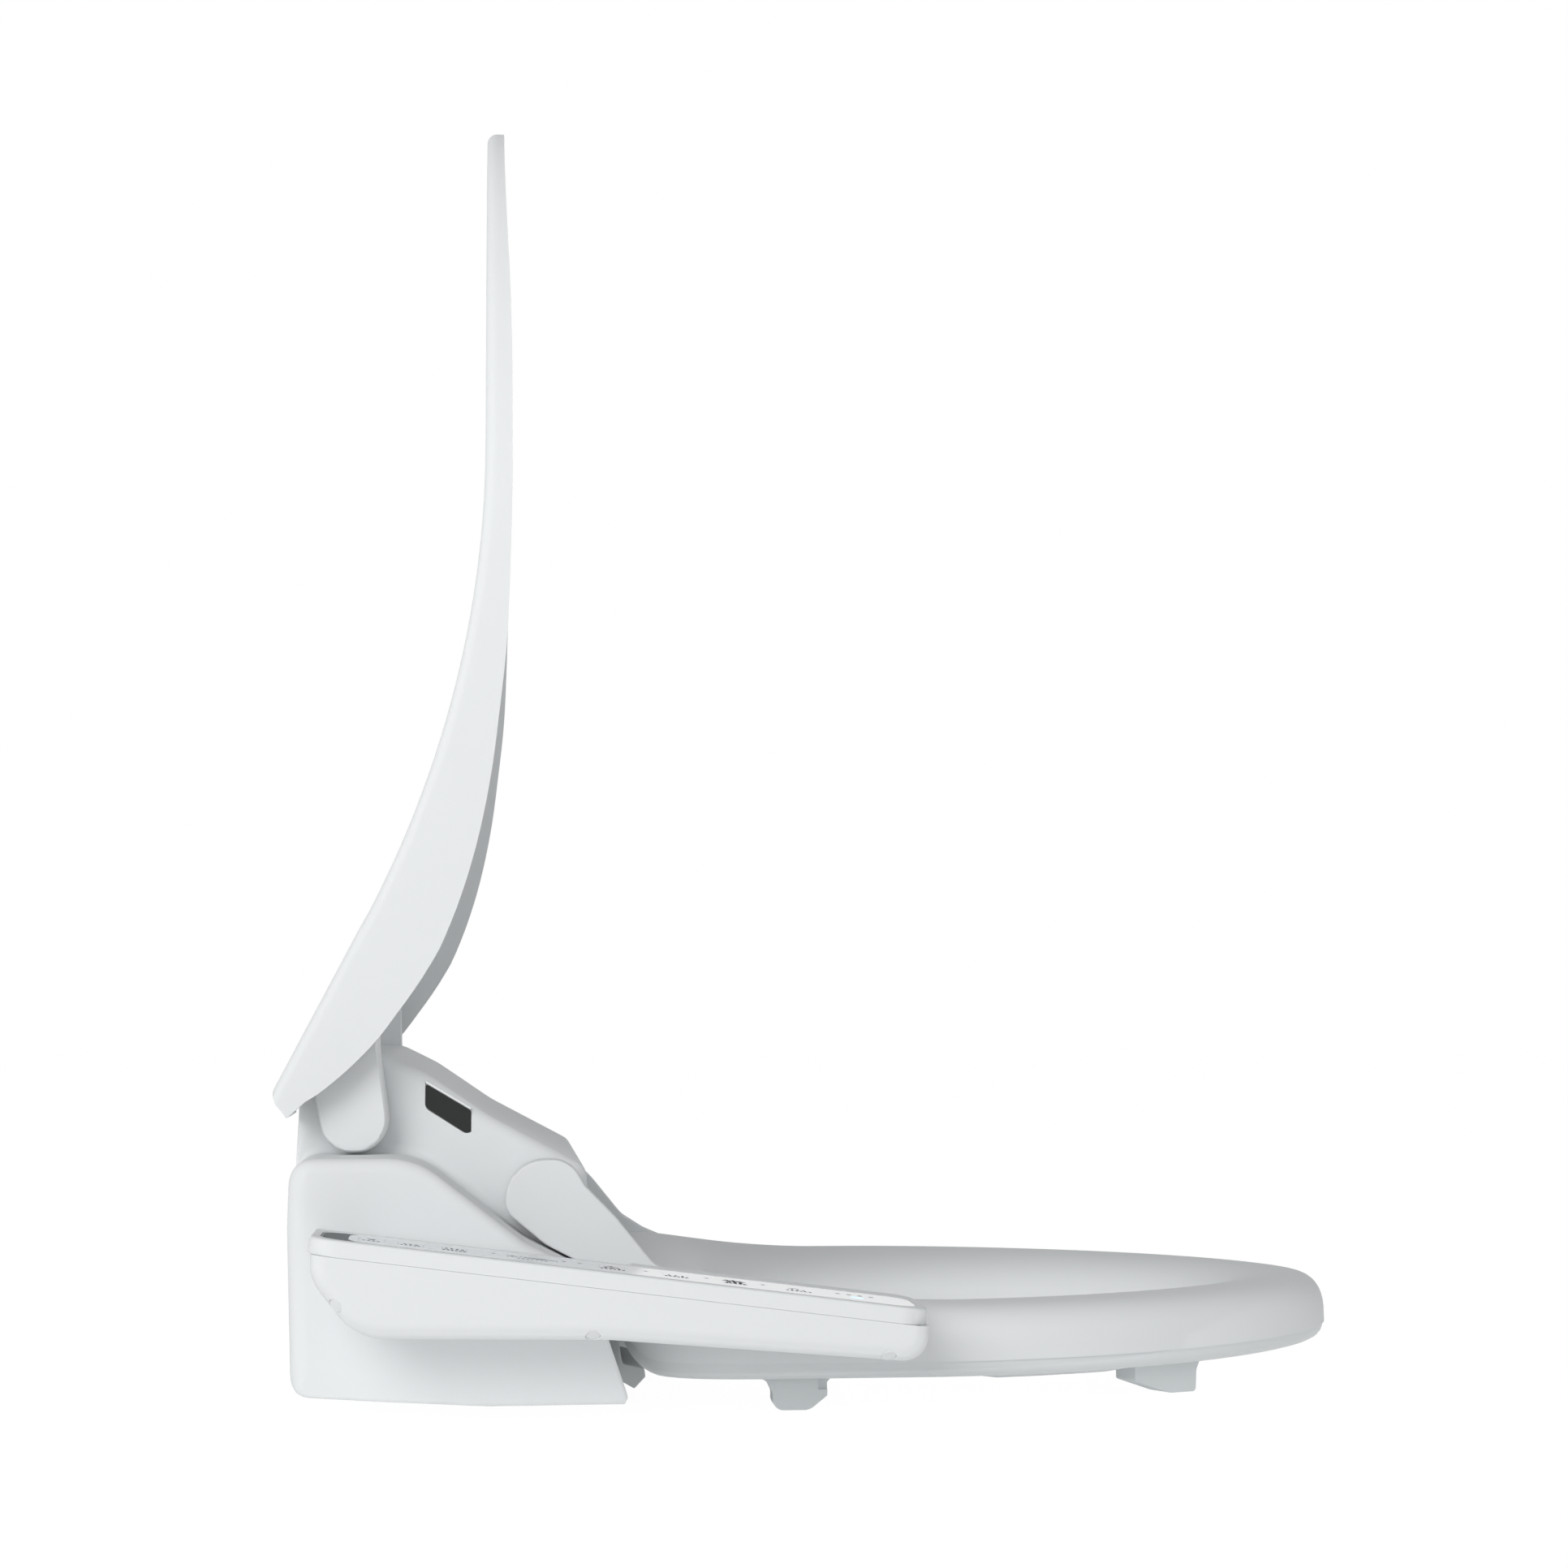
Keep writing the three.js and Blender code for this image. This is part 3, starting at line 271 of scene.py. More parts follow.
# Heater foil: bright sheet with the ridge of the heating wire running to and fro
def heaterFoil(name):
    material, tree, place = startFinish(name)
    wires = tree.node("ShaderNodeTexWave", {"wave_type": "RINGS", "rings_direction": "Z"}, {
        "Vector": place, "Scale": 30, "Distortion": 0.6})
    crumple = noise(tree, place, 120, 3)
    base = mix(tree, crumple, (0.62, 0.42, 0.2, 1), (0.82, 0.62, 0.36, 1))
    bump = bumped(tree, 0.4, 0.0005, wires + crumple * 0.3)
    return shaded(material, tree, {
        "Base Color": base, "Roughness": 0.3 + crumple * 0.2, "Metallic": 0.8, "Normal": bump})


# Glowing lamp under a milky window
def lampGlow(name, colour, strength):
    material, tree, place = startFinish(name)
    haze = noise(tree, place, 400, 2)
    glow = mix(tree, haze, tint(colour, 0.8), colour)
    return shaded(material, tree, {
        "Base Color": glow, "Roughness": 0.3 + haze * 0.1,
        "Emission Color": glow, "Emission Strength": strength})


white = (0.79, 0.805, 0.81)
finishes = {
    "white_gloss": mouldedPlastic("whiteGloss", white, 0.42, cloud=0.01, shine=0.0015),
    "white_satin": mouldedPlastic(
        "whiteSatin", (0.74, 0.76, 0.765), 0.45, skin=0.06, cloud=0.015, shine=0.03),
    "overlay_white": mouldedPlastic(
        "overlayWhite", (0.86, 0.88, 0.9), 0.14, skin=0.004, grain=120, cloud=0.01, shine=0.6),
    "grey_plastic": mouldedPlastic("greyPlastic", (0.28, 0.3, 0.31), 0.5, skin=0.1, grain=900),
    "dark_lens": mouldedPlastic("darkLens", (0.016, 0.018, 0.017), 0.2, skin=0.005, cloud=0.1, shine=0.3),
    "grey_rubber": mouldedPlastic("paleRubber", (0.7, 0.73, 0.735), 0.7, skin=0.15, grain=1500),
    "black_plastic": mouldedPlastic("blackPlastic", (0.022, 0.023, 0.025), 0.55, skin=0.15, grain=900),
    "steel": brushedMetal("drawnSteel", (0.6, 0.61, 0.62), 0.35, (1, 18, 18)),
    "brass": brushedMetal("turnedBrass", (0.62, 0.46, 0.2), 0.35, (14, 1, 1)),
    "board_green": circuitBoard("circuitBoard"),
    "heater_foil": heaterFoil("heaterFoil"),
    "tank_plastic": mouldedPlastic("tankPlastic", (0.5, 0.58, 0.63), 0.3, skin=0.05),
}
trims = {
    "ink": mouldedPlastic("keyInk", (0.04, 0.045, 0.05), 0.7, skin=0.02, cloud=0.1, shine=0.1),
    "paleInk": mouldedPlastic("paleKeyInk", (0.15, 0.165, 0.18), 0.7, skin=0.02, cloud=0.08, shine=0.1),
    "lineGrey": mouldedPlastic("filmLine", (0.4, 0.42, 0.43), 0.6, skin=0.01, cloud=0.08, shine=0.02),
    "statusGrey": mouldedPlastic("statusGrey", (0.17, 0.185, 0.19), 0.4, skin=0.01, cloud=0.3, shine=0.01),
    "lamp": lampGlow("lampBlue", (0.45, 0.75, 1, 1), 0.9),
    # bright metal band on the sensor window's top edge: a painted highlight standing in for the light caught
    # by the opening's edge
    "silver": brushedMetal("paintedHighlightStrip", (0.75, 0.77, 0.78), 0.25, (1, 6, 1)),
}
for node in frame["nodes"].values():        # each node came in with its slot's plain material
    for held in node.material_slots:
        held.material = finishes[held.material.name.split(".")[0]]
print("finishes made:", len(finishes) + len(trims))


# Tools for shapes

def bodyOf(node):
    return frame["nodes"][node]["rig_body"]


def block(x0, x1, f0, f1, z0, z1):
    bm = bmesh.new()
    middle = Matrix.Translation(((x0 + x1) / 2, -(f0 + f1) / 2, (z0 + z1) / 2))
    bmesh.ops.create_cube(bm, size=1, matrix=middle @ Matrix.Diagonal((x1 - x0, f1 - f0, z1 - z0, 1)))
    return bm


def bar(radius, start, end, around=32):        # a round bar between two points
    bm = bmesh.new()
    start, end = Vector(start), Vector(end)
    turn = (end - start).to_track_quat("Z", "Y").to_matrix().to_4x4()
    bmesh.ops.create_cone(bm, cap_ends=True, segments=around, radius1=radius, radius2=radius,
                          depth=(end - start).length,
                          matrix=Matrix.Translation((start + end) / 2) @ turn)
    return bm


def bevelled(bm, edges, radius, steps):
    bmesh.ops.bevel(bm, geom=edges, offset=radius, offset_type="OFFSET", segments=steps, profile=0.5,
                    affect="EDGES", material=-1, clamp_overlap=True)
    return bm


def eased(bm, radius, steps=3, sharper=40, where=None):        # every edge sharper than that many degrees
    edges = [e for e in bm.edges if e.is_manifold and e.calc_face_angle() > math.radians(sharper)
             and (where is None or where(e))]
    return bevelled(bm, edges, radius, steps)


def edgesAt(bm, *places):        # the edges that lie in any of the planes across X
    return [e for e in bm.edges if any(all(abs(v.co.x - x) < touching for v in e.verts) for x in places)]


def upright(edge):
    along = edge.verts[1].co - edge.verts[0].co
    return abs(along.z) > 0.99 * along.length


def plate(x0, x1, f0, f1, z0, z1, corner, rim=0):        # a block with round corners in plan
    bm = block(x0, x1, f0, f1, z0, z1)
    bevelled(bm, [e for e in bm.edges if upright(e)], corner, 8)
    return eased(bm, rim, 3, 60) if rim else bm


def carried(bm, faces, vec):        # faces carried along vec, with walls behind them
    made = bmesh.ops.extrude_face_region(bm, geom=faces)["geom"]
    bmesh.ops.translate(bm, vec=vec, verts=[g for g in made if isinstance(g, bmesh.types.BMVert)])


def halfCorner(corners, i):        # half the angle between the sides that meet there, and the ways to them
    here = Vector(corners[i][:2])
    back, on = Vector(corners[i - 1][:2]) - here, Vector(corners[(i + 1) % len(corners)][:2]) - here
    return back.angle(on) / 2, here, back, on


# An outline of (f, z, radius) corners carried across X, its corners rounded, then the edge of each side, or
# of the x0 side alone where rim is negative
def slab(corners, x0, x1, rim=0):
    bm = bmesh.new()
    face = bm.faces.new([bm.verts.new((x0, -f, z)) for f, z, *_ in corners])
    carried(bm, [face], (x1 - x0, 0, 0))
    for i, (f, z, *radius) in enumerate(corners):
        if not radius or not radius[0]:
            continue
        half = halfCorner(corners, i)[0]
        steps = max(2, round(math.degrees(math.pi - 2 * half) / 8))
        edges = [e for e in bm.edges if all(abs(v.co.y + f) + abs(v.co.z - z) < touching for v in e.verts)]
        bevelled(bm, edges, radius[0] / math.tan(half), steps)
    if rim:
        bevelled(bm, edgesAt(bm, x0, x1) if rim > 0 else edgesAt(bm, x0), abs(rim), 2)
    return bm


def loose(bm):        # an object that holds a shape for a moment
    mesh = bpy.data.meshes.new("loose")
    bm.to_mesh(mesh)
    bm.free()
    return linked("loose", mesh)


def settled(*held):        # the first object's shape with its modifiers done; the objects are thrown away
    bm = bmesh.new()
    bm.from_mesh(held[0].evaluated_get(bpy.context.evaluated_depsgraph_get()).to_mesh())
    for spare in held:
        mesh = spare.data
        bpy.data.objects.remove(spare)
        bpy.data.meshes.remove(mesh)
    return bm


def cut(body, *tools, how="DIFFERENCE"):        # closed shapes taken from the body, or joined to it, in turn
    for tool in tools:
        for bm in (body, tool):
            bmesh.ops.recalc_face_normals(bm, faces=bm.faces)
        base, other = loose(body), loose(tool)
        step = base.modifiers.new("cut", "BOOLEAN")
        step.operation, step.object, step.solver = how, other, "EXACT"
        body = settled(base, other)
    return body


def together(*shapes):        # several shapes in one mesh, each still closed by itself
    whole = shapes[0]
    for shape in shapes[1:]:
        mesh = bpy.data.meshes.new("loose")
        shape.to_mesh(mesh)
        shape.free()
        whole.from_mesh(mesh)
        bpy.data.meshes.remove(mesh)
    return whole


# Extrudes a chain of edges once; keys follow from each old vertex to its new one
def grown(bm, edges, keys, place):
    made = bmesh.ops.extrude_edge_only(bm, edges=edges)["geom"]
    edges = [g for g in made if isinstance(g, bmesh.types.BMEdge)]
    fresh = [g for g in made if isinstance(g, bmesh.types.BMVert)]
    known = {v: next(keys[e.other_vert(v)] for e in v.link_edges if e.other_vert(v) in keys) for v in fresh}
    for v in fresh:
        v.co = place(known[v])
    return edges, known


# Writes the shape as a piece: in metres, smooth but for its sharp edges, on its body. Its look is a finish,
# which has its slot's name, or a trim.
def piece(name, bm, look, body, stands=(), slot=None, sharp=38, soften=0):
    slot = slot or look
    bmesh.ops.remove_doubles(bm, verts=bm.verts, dist=merge)
    bmesh.ops.dissolve_degenerate(bm, edges=bm.edges, dist=merge)
    bmesh.ops.recalc_face_normals(bm, faces=bm.faces)
    bmesh.ops.scale(bm, vec=(metres, metres, metres), verts=bm.verts)
    mesh = bpy.data.meshes.new(name)
    bm.to_mesh(mesh)
    bm.free()
    mesh.shade_smooth()
    mesh.set_sharp_from_angle(angle=math.radians(sharp))
    mesh.materials.append(finishes.get(look) or trims[look])
    made = linked(name, mesh)
    if soften:
        edge = made.modifiers.new("soften", "BEVEL")
        edge.width, edge.segments, edge.limit_method = soften * metres, 2, "ANGLE"
        edge.angle_limit = math.radians(50)
    made.modifiers.new("evenShading", "WEIGHTED_NORMAL").keep_sharp = True
    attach(made, body)
    if stands:
        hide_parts(*stands)


sides = {"right": -1, "left": 1}


def onSide(sign, bm):        # drawn on the left, +X, or its mirror image on the right
    if sign < 0:
        bmesh.ops.scale(bm, vec=(-1, 1, 1), verts=bm.verts)
    return bm


# Casing: a raised housing between two lower shoulders

casing = {
    "half": 208, "housingHalf": 152, "wall": 2.6,
    "middle": (10, 60),                       # every outline is seen whole from here
    "foot": [(-59.6, 13.6, 10), (-20, 11, 80), (28, 8.4, 90), (90.3, 8.6, 1.2), (90.6, 12, 3),
             (81.6, 38, 14)],
    "hollowFoot": [(-59.6, 13.6, 10), (-20, 11, 80), (28, 8.4, 90), (89.6, 8.6, 5), (81.6, 38, 14)],
    "shoulderTop": [(80, 62.5, 6), (44, 80.5, 30), (-5, 118.3, 38), (-61.4, 118.3, 13), (-62.1, 88, 90)],
    "housingTop": [(81, 66, 20), (73.9, 101, 20), (73.4, 111.4, 14), (28, 135.3, 60), (-2, 155.6, 40),
                   (-22, 165.5, 18), (-50, 165.5, 14), (-60.8, 146, 12), (-62.1, 88, 90)],
    "rearCorner": 9, "topEdge": 6.5, "lowEdge": 1.6, "housingEdge": 7, "shoulderFoot": 5,
    "slot": {"reach": 5.2, "gap": 0.35}, "arcStep": 7, "hingeHole": (6.4, 160),
    "underside": (-206.25, 206.25, -49.4, 87.3, 0, 13.1),        # the hollow is open to the tray
}
lidPivot, seatPivot = (-36, 137), (54, 97)


# (f, z, radius) corners, anticlockwise, as points with their outward normals. A parabola stands for each arc.
def roundedOutline(corners):
    points = []
    for i, (*_, radius) in enumerate(corners):
        half, here, back, on = halfCorner(corners, i)
        reach = min(radius / math.tan(half), 0.49 * back.length, 0.49 * on.length)
        start, end = here + back.normalized() * reach, here + on.normalized() * reach
        steps = max(2, round(math.degrees(math.pi - 2 * half) / casing["arcStep"]))
        for k in range(steps + 1):
            t = k / steps
            way = (here - start) * (1 - t) + (end - here) * t
            points.append((start * (1 - t) ** 2 + here * 2 * t * (1 - t) + end * t * t,
                           Vector((way.y, -way.x)).normalized()))
    return points


def rayHit(points, centre, angle):        # where a ray meets the outline, and the normal there
    way = Vector((math.cos(angle), math.sin(angle)))
    for (before, normalBefore), (here, normal) in zip([points[-1]] + points, points):
        a, b = before - centre, here - centre
        turn = way.cross(b - a)
        if turn < 1e-9:
            continue
        along, share = a.cross(b - a) / turn, a.cross(way) / turn
        if along > 0 and -1e-6 <= share <= 1 + 1e-6:
            return centre + way * along, normalBefore.lerp(normal, share).normalized()
    raise ValueError("the outline is not closed round its middle")


def casingSpots(foot):        # matching points of both outlines, with their normals
    centre = Vector(casing["middle"])
    low = roundedOutline(casing[foot] + casing["shoulderTop"])
    high = roundedOutline(casing[foot] + casing["housingTop"])
    angles = sorted({round(math.atan2(*(p - centre).yx), 3) for p, _ in low + high}
                    | {round(math.radians(a), 3) for a in range(-178, 181, 4)})
    kept = [a for i, a in enumerate(angles) if a - angles[i - 1] > 0.008 or i == 0]
    return [(rayHit(low, centre, a), rayHit(high, centre, a)) for a in kept]


def edgeRadius(normal):        # how round the outline's side edge is, by the way the surface faces
    rear, top = max(0, -normal.x), max(0, normal.y)
    return casing["rearCorner"] * rear ** 2 + casing["topEdge"] * top ** 2 + casing["lowEdge"] * (
        1 - rear ** 2 - top ** 2)


# The casing's form, d inside its skin, as loops of its outline from one side to the other
def casingForm(d, steps=6):
    spots = casingSpots("hollowFoot" if d else "foot")
    stages = []        # each gives (x, f, z) of a spot; the left side is a mirror image
    turns = [math.pi / 2 * k / steps for k in range(steps + 1)]

    def shoulder(spot, turn):
        (here, normal), _ = spot
        radius = max(0.4, edgeRadius(normal) - d)
        inner = here - normal * (d + radius * (1 - math.sin(turn)))
        return casing["half"] - d - radius * (1 - math.cos(turn)), inner

    def rise(spot):        # from the shoulder up to the housing's rounded edge
        (low, lowNormal), (high, highNormal) = spot
        apart = (high - low).length
        radius = max(0.3, (casing["housingEdge"] - d) * min(1, apart / 22))
        start, end = low - lowNormal * d, high - highNormal * (d + radius)
        return start, end, radius, min(casing["shoulderFoot"] + d, 0.45 * (end - start).length)

    def foot(spot, turn):        # the hollow where the shoulder meets the housing's wall
        start, end, _, radius = rise(spot)
        at = start + (end - start).normalized() * radius * (1 - math.cos(turn))
        return casing["housingHalf"] - d + radius * (1 - math.sin(turn)), at

    def housing(spot, turn):
        (_, (high, normal)) = spot
        radius = rise(spot)[2]
        return casing["housingHalf"] - d - radius * (1 - math.cos(turn)), high - normal * (
            d + radius * (1 - math.sin(turn)))

    for form in (shoulder, foot, housing):
        stages += [(form, turn) for turn in turns]
    bm = bmesh.new()
    ring = bmesh.ops.create_circle(bm, segments=len(spots), radius=1)["verts"]
    keys = {v: spots[i] for i, v in enumerate(sorted(ring, key=lambda v: math.atan2(v.co.y, v.co.x)))}

    def place(sign, form, turn):
        def put(spot):
            x, at = form(spot, turn)
            return sign * x, -at.x, at.y
        return put

    first = place(-1, *stages[0])
    for v, spot in keys.items():
        v.co = first(spot)
    bm.faces.new(sorted(ring, key=lambda v: spots.index(keys[v])))
    edges = list(bm.edges)
    for sign, rows in ((-1, stages[1:]), (1, stages[::-1])):
        for form, turn in rows:
            edges, keys = grown(bm, edges, keys, place(sign, form, turn))
    bmesh.ops.contextual_create(bm, geom=edges)
    bmesh.ops.remove_doubles(bm, verts=bm.verts, dist=0.002)
    bmesh.ops.recalc_face_normals(bm, faces=bm.faces)
    return bm


bay = {
    "half": 100, "mouth": (-20, 20, 60, 115, 0, 28, 0.3), "recess": (69, 112, 0, 30.3, 0.5),
    "corners": [(70, 10.3), (92.8, 5.2, 0.6), (98.6, 1.9, 0.8), (104, 7.6, 0.8), (103.4, 11.5, 1),
                (92.5, 14, 2), (90.3, 30, 1), (86.3, 30), (85.3, 15), (70, 15)],
    "air": [(71.6, 16), (81.9, 16), (86, 12.8), (101.5, 10.7), (108, 9.3), (98.5, 1), (93, 1), (88, 7),
            (75, 11)],
    "airSides": (63.6, 90.4), "gap": 0.4,
}
sideParts = {
    "cartridge": (20, 58, 13.3, 34), "button": (66, 80, 13.3, 26),        # f and z of what slides out
    "inlet": (-22, 32, 10.9), "gland": (150, 34, 8.4),                    # f or x, z and the hole's radius
}


def makeCasing():
    hollow = casingForm(casing["wall"], 3)
    bmesh.ops.dissolve_degenerate(hollow, edges=hollow.edges, dist=0.02)
    shell = cut(casingForm(0), cut(hollow, block(*casing["underside"]), how="UNION"),
                plate(-bay["half"] - bay["gap"], bay["half"] + bay["gap"], *bay["recess"]))
    hole, across = casing["hingeHole"]
    for f, z in (lidPivot, seatPivot):
        shell = cut(shell, bar(hole, (-across, -f, z), (across, -f, z)))
    half, gap, reach = casing["half"], casing["slot"]["gap"], casing["slot"]["reach"]
    for name in ("cartridge", "button"):
        f0, f1, z0, z1 = sideParts[name]
        shell = cut(shell, block(half - reach, half + 2, f0 - gap, f1 + gap, z0 - gap, z1 + gap))
    (f, z, radius), (x, glandZ, glandRadius) = sideParts["inlet"], sideParts["gland"]
    shell = cut(shell, bar(radius, (half - reach, -f, z), (225, -f, z)),
                bar(glandRadius, (x, 50, glandZ), (x, 70, glandZ)),
                sensorSlab("opening"))
    piece("casing_cover", shell, "white_gloss", "casing", ["casing_upper"], sharp=45)


sensor = {        # how far each starts and ends in from the housing's side, and its corners
    "opening": (-1, 1.7, [(-2.3, 139.2, 3.6), (17.5, 126.7, 3.4), (19.3, 128.2, 2), (19.3, 139.2, 1),
                          (-2.3, 152.5, 1)]),
    "face": (-0.15, 1.4, [(-2, 139.4, 3.4), (17.3, 127.1, 3.2), (19, 128.4, 1.8), (19, 138, 0.6),
                          (-2, 150.4, 0.6)]),
    # the strip is a painted highlight: a bright band along the window's top edge where the opening's edge
    # catches the light
    "strip": (-0.18, 1.2, [(-2, 150.8), (19, 138.4), (19, 139.4), (-2, 152)]),
    "rim": -0.3,
}


def sensorSlab(name, rim=0):
    near, far, corners = sensor[name]
    return slab(corners, -casing["housingHalf"] + near, -casing["housingHalf"] + far, rim)


def makeSensor():
    piece("window_glass", sensorSlab("face", sensor["rim"]), "dark_lens", "casing", ["sensor_window"])
    # painted highlight: a bright silver strip along the window's top edge
    piece("window_highlight_strip", sensorSlab("strip"), "silver", "casing", slot="dark_lens")


makeCasing()
makeSensor()
print("casing and sensor window made")


# Nozzle bay, base tray, mounting plate and pads

base = {
    "tray": (-205.6, 205.6, -48.6, 86.6, 7.4, 17, 12), "trayHalf": 210,
    "under": [(-60, 0), (-60, 14.4), (-20, 12), (28, 9.6), (95, 9.2), (95, 0)],
    "inside": [(-45.6, 16.2), (-20, 14.6), (28, 12), (83.6, 11.8), (83.6, 30), (-45.6, 30)],
    "insideHalf": 202.6, "opening": (190, 210, 20),        # x and top of the wall's openings
    "bayGap": (-100.3, 100.3, 69.7, 100, 0, 20), "boss": (-80, 80, -26, 20, 5.3, 14, 4, 0.8),
    "plate": (-95, 95, -32, 24, 0, 5, 8, 0.8), "bolts": (-70, 70), "slot": (6, 17, 5.9),
    "rail": (168, 202), "railHeight": (9.5, 12.6),
    "pad": (108, 20), "padRadius": 11, "padTop": 11.6, "padRound": 1.2, "groove": (8, 0.8),
}


def boltSlots(z0, z1):
    half, long, corner = base["slot"]
    return [plate(x - half, x + half, -long, long, z0, z1, corner) for x in base["bolts"]]


def makeBase():
    lip = cut(slab(bay["corners"], -bay["half"], bay["half"]),
              plate(*bay["mouth"]), slab(bay["air"], *bay["airSides"]))
    piece("bay_lip", lip, "white_satin", "casing", ["nozzle_bay"], soften=0.5)
    half, inside = base["trayHalf"], base["insideHalf"]
    tray = cut(plate(*base["tray"]), slab(base["under"], -half, half), slab(base["inside"], -inside, inside),
               block(*base["bayGap"]))
    tray = cut(cut(tray, plate(*base["boss"]), how="UNION"), *boltSlots(0, 12.4))
    gap, rails = casing["slot"]["gap"], []
    for name in ("cartridge", "button"):        # the wall is open where these slide out of the side
        f0, f1, z0, _ = sideParts[name]
        near, far, top = base["opening"]
        tray = cut(tray, block(near, far, f0 - gap, f1 + gap, z0 - gap, top))
        rails.append(block(*base["rail"], f0 + 2, f1 - 2, *base["railHeight"]))
    piece("tray", together(tray, *rails), "white_satin", "casing", ["base_tray"], soften=0.3)
    under = cut(plate(*base["plate"]), *boltSlots(-1, 6))
    piece("bolt_plate", under, "grey_plastic", "casing", ["mounting_plate"], soften=0.4)
    (x, y), (grooveRadius, grooveTop) = base["pad"], base["groove"]
    for side, sign in sides.items():
        pad = bar(base["padRadius"], (sign * x, y, 0), (sign * x, y, base["padTop"]), 40)
        eased(pad, base["padRound"], 3, 60)
        groove = bar(grooveRadius, (sign * x, y, -1), (sign * x, y, grooveTop), 40)
        piece("pad_" + side, cut(pad, groove), "grey_rubber", "casing", ["base_pad_" + side])


makeBase()
print("base made")


# Control arm. Pieces on the sloping panel are drawn flat, with s along it from its rear corner as f and
# z = 0 on its face.
arm = {
    "outer": 262, "innerRear": 208.3, "innerFront": 196, "stepAt": 90.8,
    "panel": (-49, 88), "length": 271.2, "pitch": 7.1, "bezel": 7.4,
    "middle": -235.15, "stripHalf": 21.85, "stripRadius": 12, "rim": 4.4, "seam": 0.04,
    "keys": {"stop": (-23, 11), "rear_wash": (-6, 11), "front_wash": (13, 11), "pressure": (47, 22),
             "dry": (82, 11), "seat_heat": (110, 11), "water_heat": (136, 11)},
    "plugs": {"rear": (-38.6, 57.4, -0.62, -0.5), "middle": (73, 43.1, 0.03, -1),
              "front": (201.7, 32.7, 0.08, -1)},
    "plugRadius": 3.3, "plugTilt": 0.9, "lowRound": 7.5, "innerRound": 4,
    "under": [(-48.4, 69.7, 16), (-28.3, 43.9, 24), (80, 42.4, 60)], "toe": (1.2, 31.2, 11),
    "rearTop": (-48.4, 100, 0), "hollowSides": (-259.4, -210.8),
    "hollowUnder": [(-19, 46.6, 10), (80, 45.5, 40)], "hollowToe": (5, 35, 8), "hollowRear": 6.5,
    "bezelCorner": 13, "stepCorner": 2, "bezelEdge": 1.6, "stripDeep": -1.25,
    "keyHalf": 11, "keyCorner": 4, "keyGap": 0.3, "filmGap": 0.07,
    "keyDeep": -6.5, "keyTop": -0.06, "keyEdge": 0.12,
}
film = {"fit": 0.35, "lens": 12, "low": -0.9, "top": -0.12, "lineTop": -0.16, "lensTop": -0.14, "edge": 0.15}
armPitch = math.radians(arm["pitch"])


def alongPanel(f):        # s of the point that far in front of the bolt line
    return (f - arm["panel"][0]) / math.cos(armPitch)


def onPanelLine(s, d):        # (f, z) of the point s along the panel and d below it
    f, z = arm["panel"]
    return (f + s * math.cos(armPitch) - d * math.sin(armPitch),
            z - s * math.sin(armPitch) - d * math.cos(armPitch))


def toeCorner(back, z, radius):        # a corner that far behind the panel's front end
    return onPanelLine(arm["length"], 0)[0] - back, z, radius


def onPanel(bm):
    f, z = arm["panel"]
    bm.transform(Matrix.Translation((0, -f, z)) @ Matrix.Rotation(armPitch, 4, "X"))
    return bm


def strip(half, s0, s1, z0, z1, radius, rim=0):        # a round-ended plate along the middle of the panel
    return plate(arm["middle"] - half, arm["middle"] + half, s0, s1, z0, z1, radius, rim)


def keyPads(grow, z0, z1, rim=0):
    pads = {}
    for name, (f, long) in arm["keys"].items():
        s = alongPanel(f)
        pads[name] = strip(arm["keyHalf"] + grow, s - long / 2 - grow, s + long / 2 + grow, z0, z1,
                           arm["keyCorner"] + grow, rim)
    return pads


def plugBar(spec, grow, near, far):        # on the round lower edge of the arm's case, facing half downwards
    f, z, forward, down = spec
    turn = arm["plugTilt"]
    lean = Vector((0, -forward, down)).normalized() * math.sin(turn)
    out = Vector((-math.cos(turn), lean.y, lean.z))
    radius = arm["lowRound"]
    middle = Vector((-arm["outer"] + radius, -f, z)) - lean.normalized() * radius + out * radius
    return bar(arm["plugRadius"] + grow, middle + out * far, middle + out * near, 40)


def makeArmCase():
    outer, inner, long, rear = -arm["outer"], -arm["innerFront"], arm["length"], arm["hollowRear"]
    body = slab([*arm["under"], toeCorner(*arm["toe"]), (*onPanelLine(long - 0.2, -10), 0), arm["rearTop"]],
                outer, inner)
    bevelled(body, edgesAt(body, outer), arm["lowRound"], 6)
    bevelled(body, edgesAt(body, inner), arm["innerRound"], 4)
    hollow = slab([(*onPanelLine(rear, 18), 3), *arm["hollowUnder"], toeCorner(*arm["hollowToe"]),
                   (*onPanelLine(long - 5, -10), 0), (*onPanelLine(rear, -10), 0)], *arm["hollowSides"])
    body = cut(body, block(-arm["innerRear"], 0, -80, arm["stepAt"], 0, 200),
               onPanel(block(-300, -150, -40, 300, -arm["bezel"] - arm["seam"], 60)), hollow,
               *(plugBar(spec, 0.1, 3, -2) for spec in arm["plugs"].values()))
    piece("arm_case", body, "white_gloss", "casing", ["control_arm_case"], soften=0.3)
    for name, spec in arm["plugs"].items():
        piece("plug_" + name, eased(plugBar(spec, 0, -0.35, -1.9), 0.3, 2, 60), "white_gloss", "casing",
              ["screw_plug_" + name])


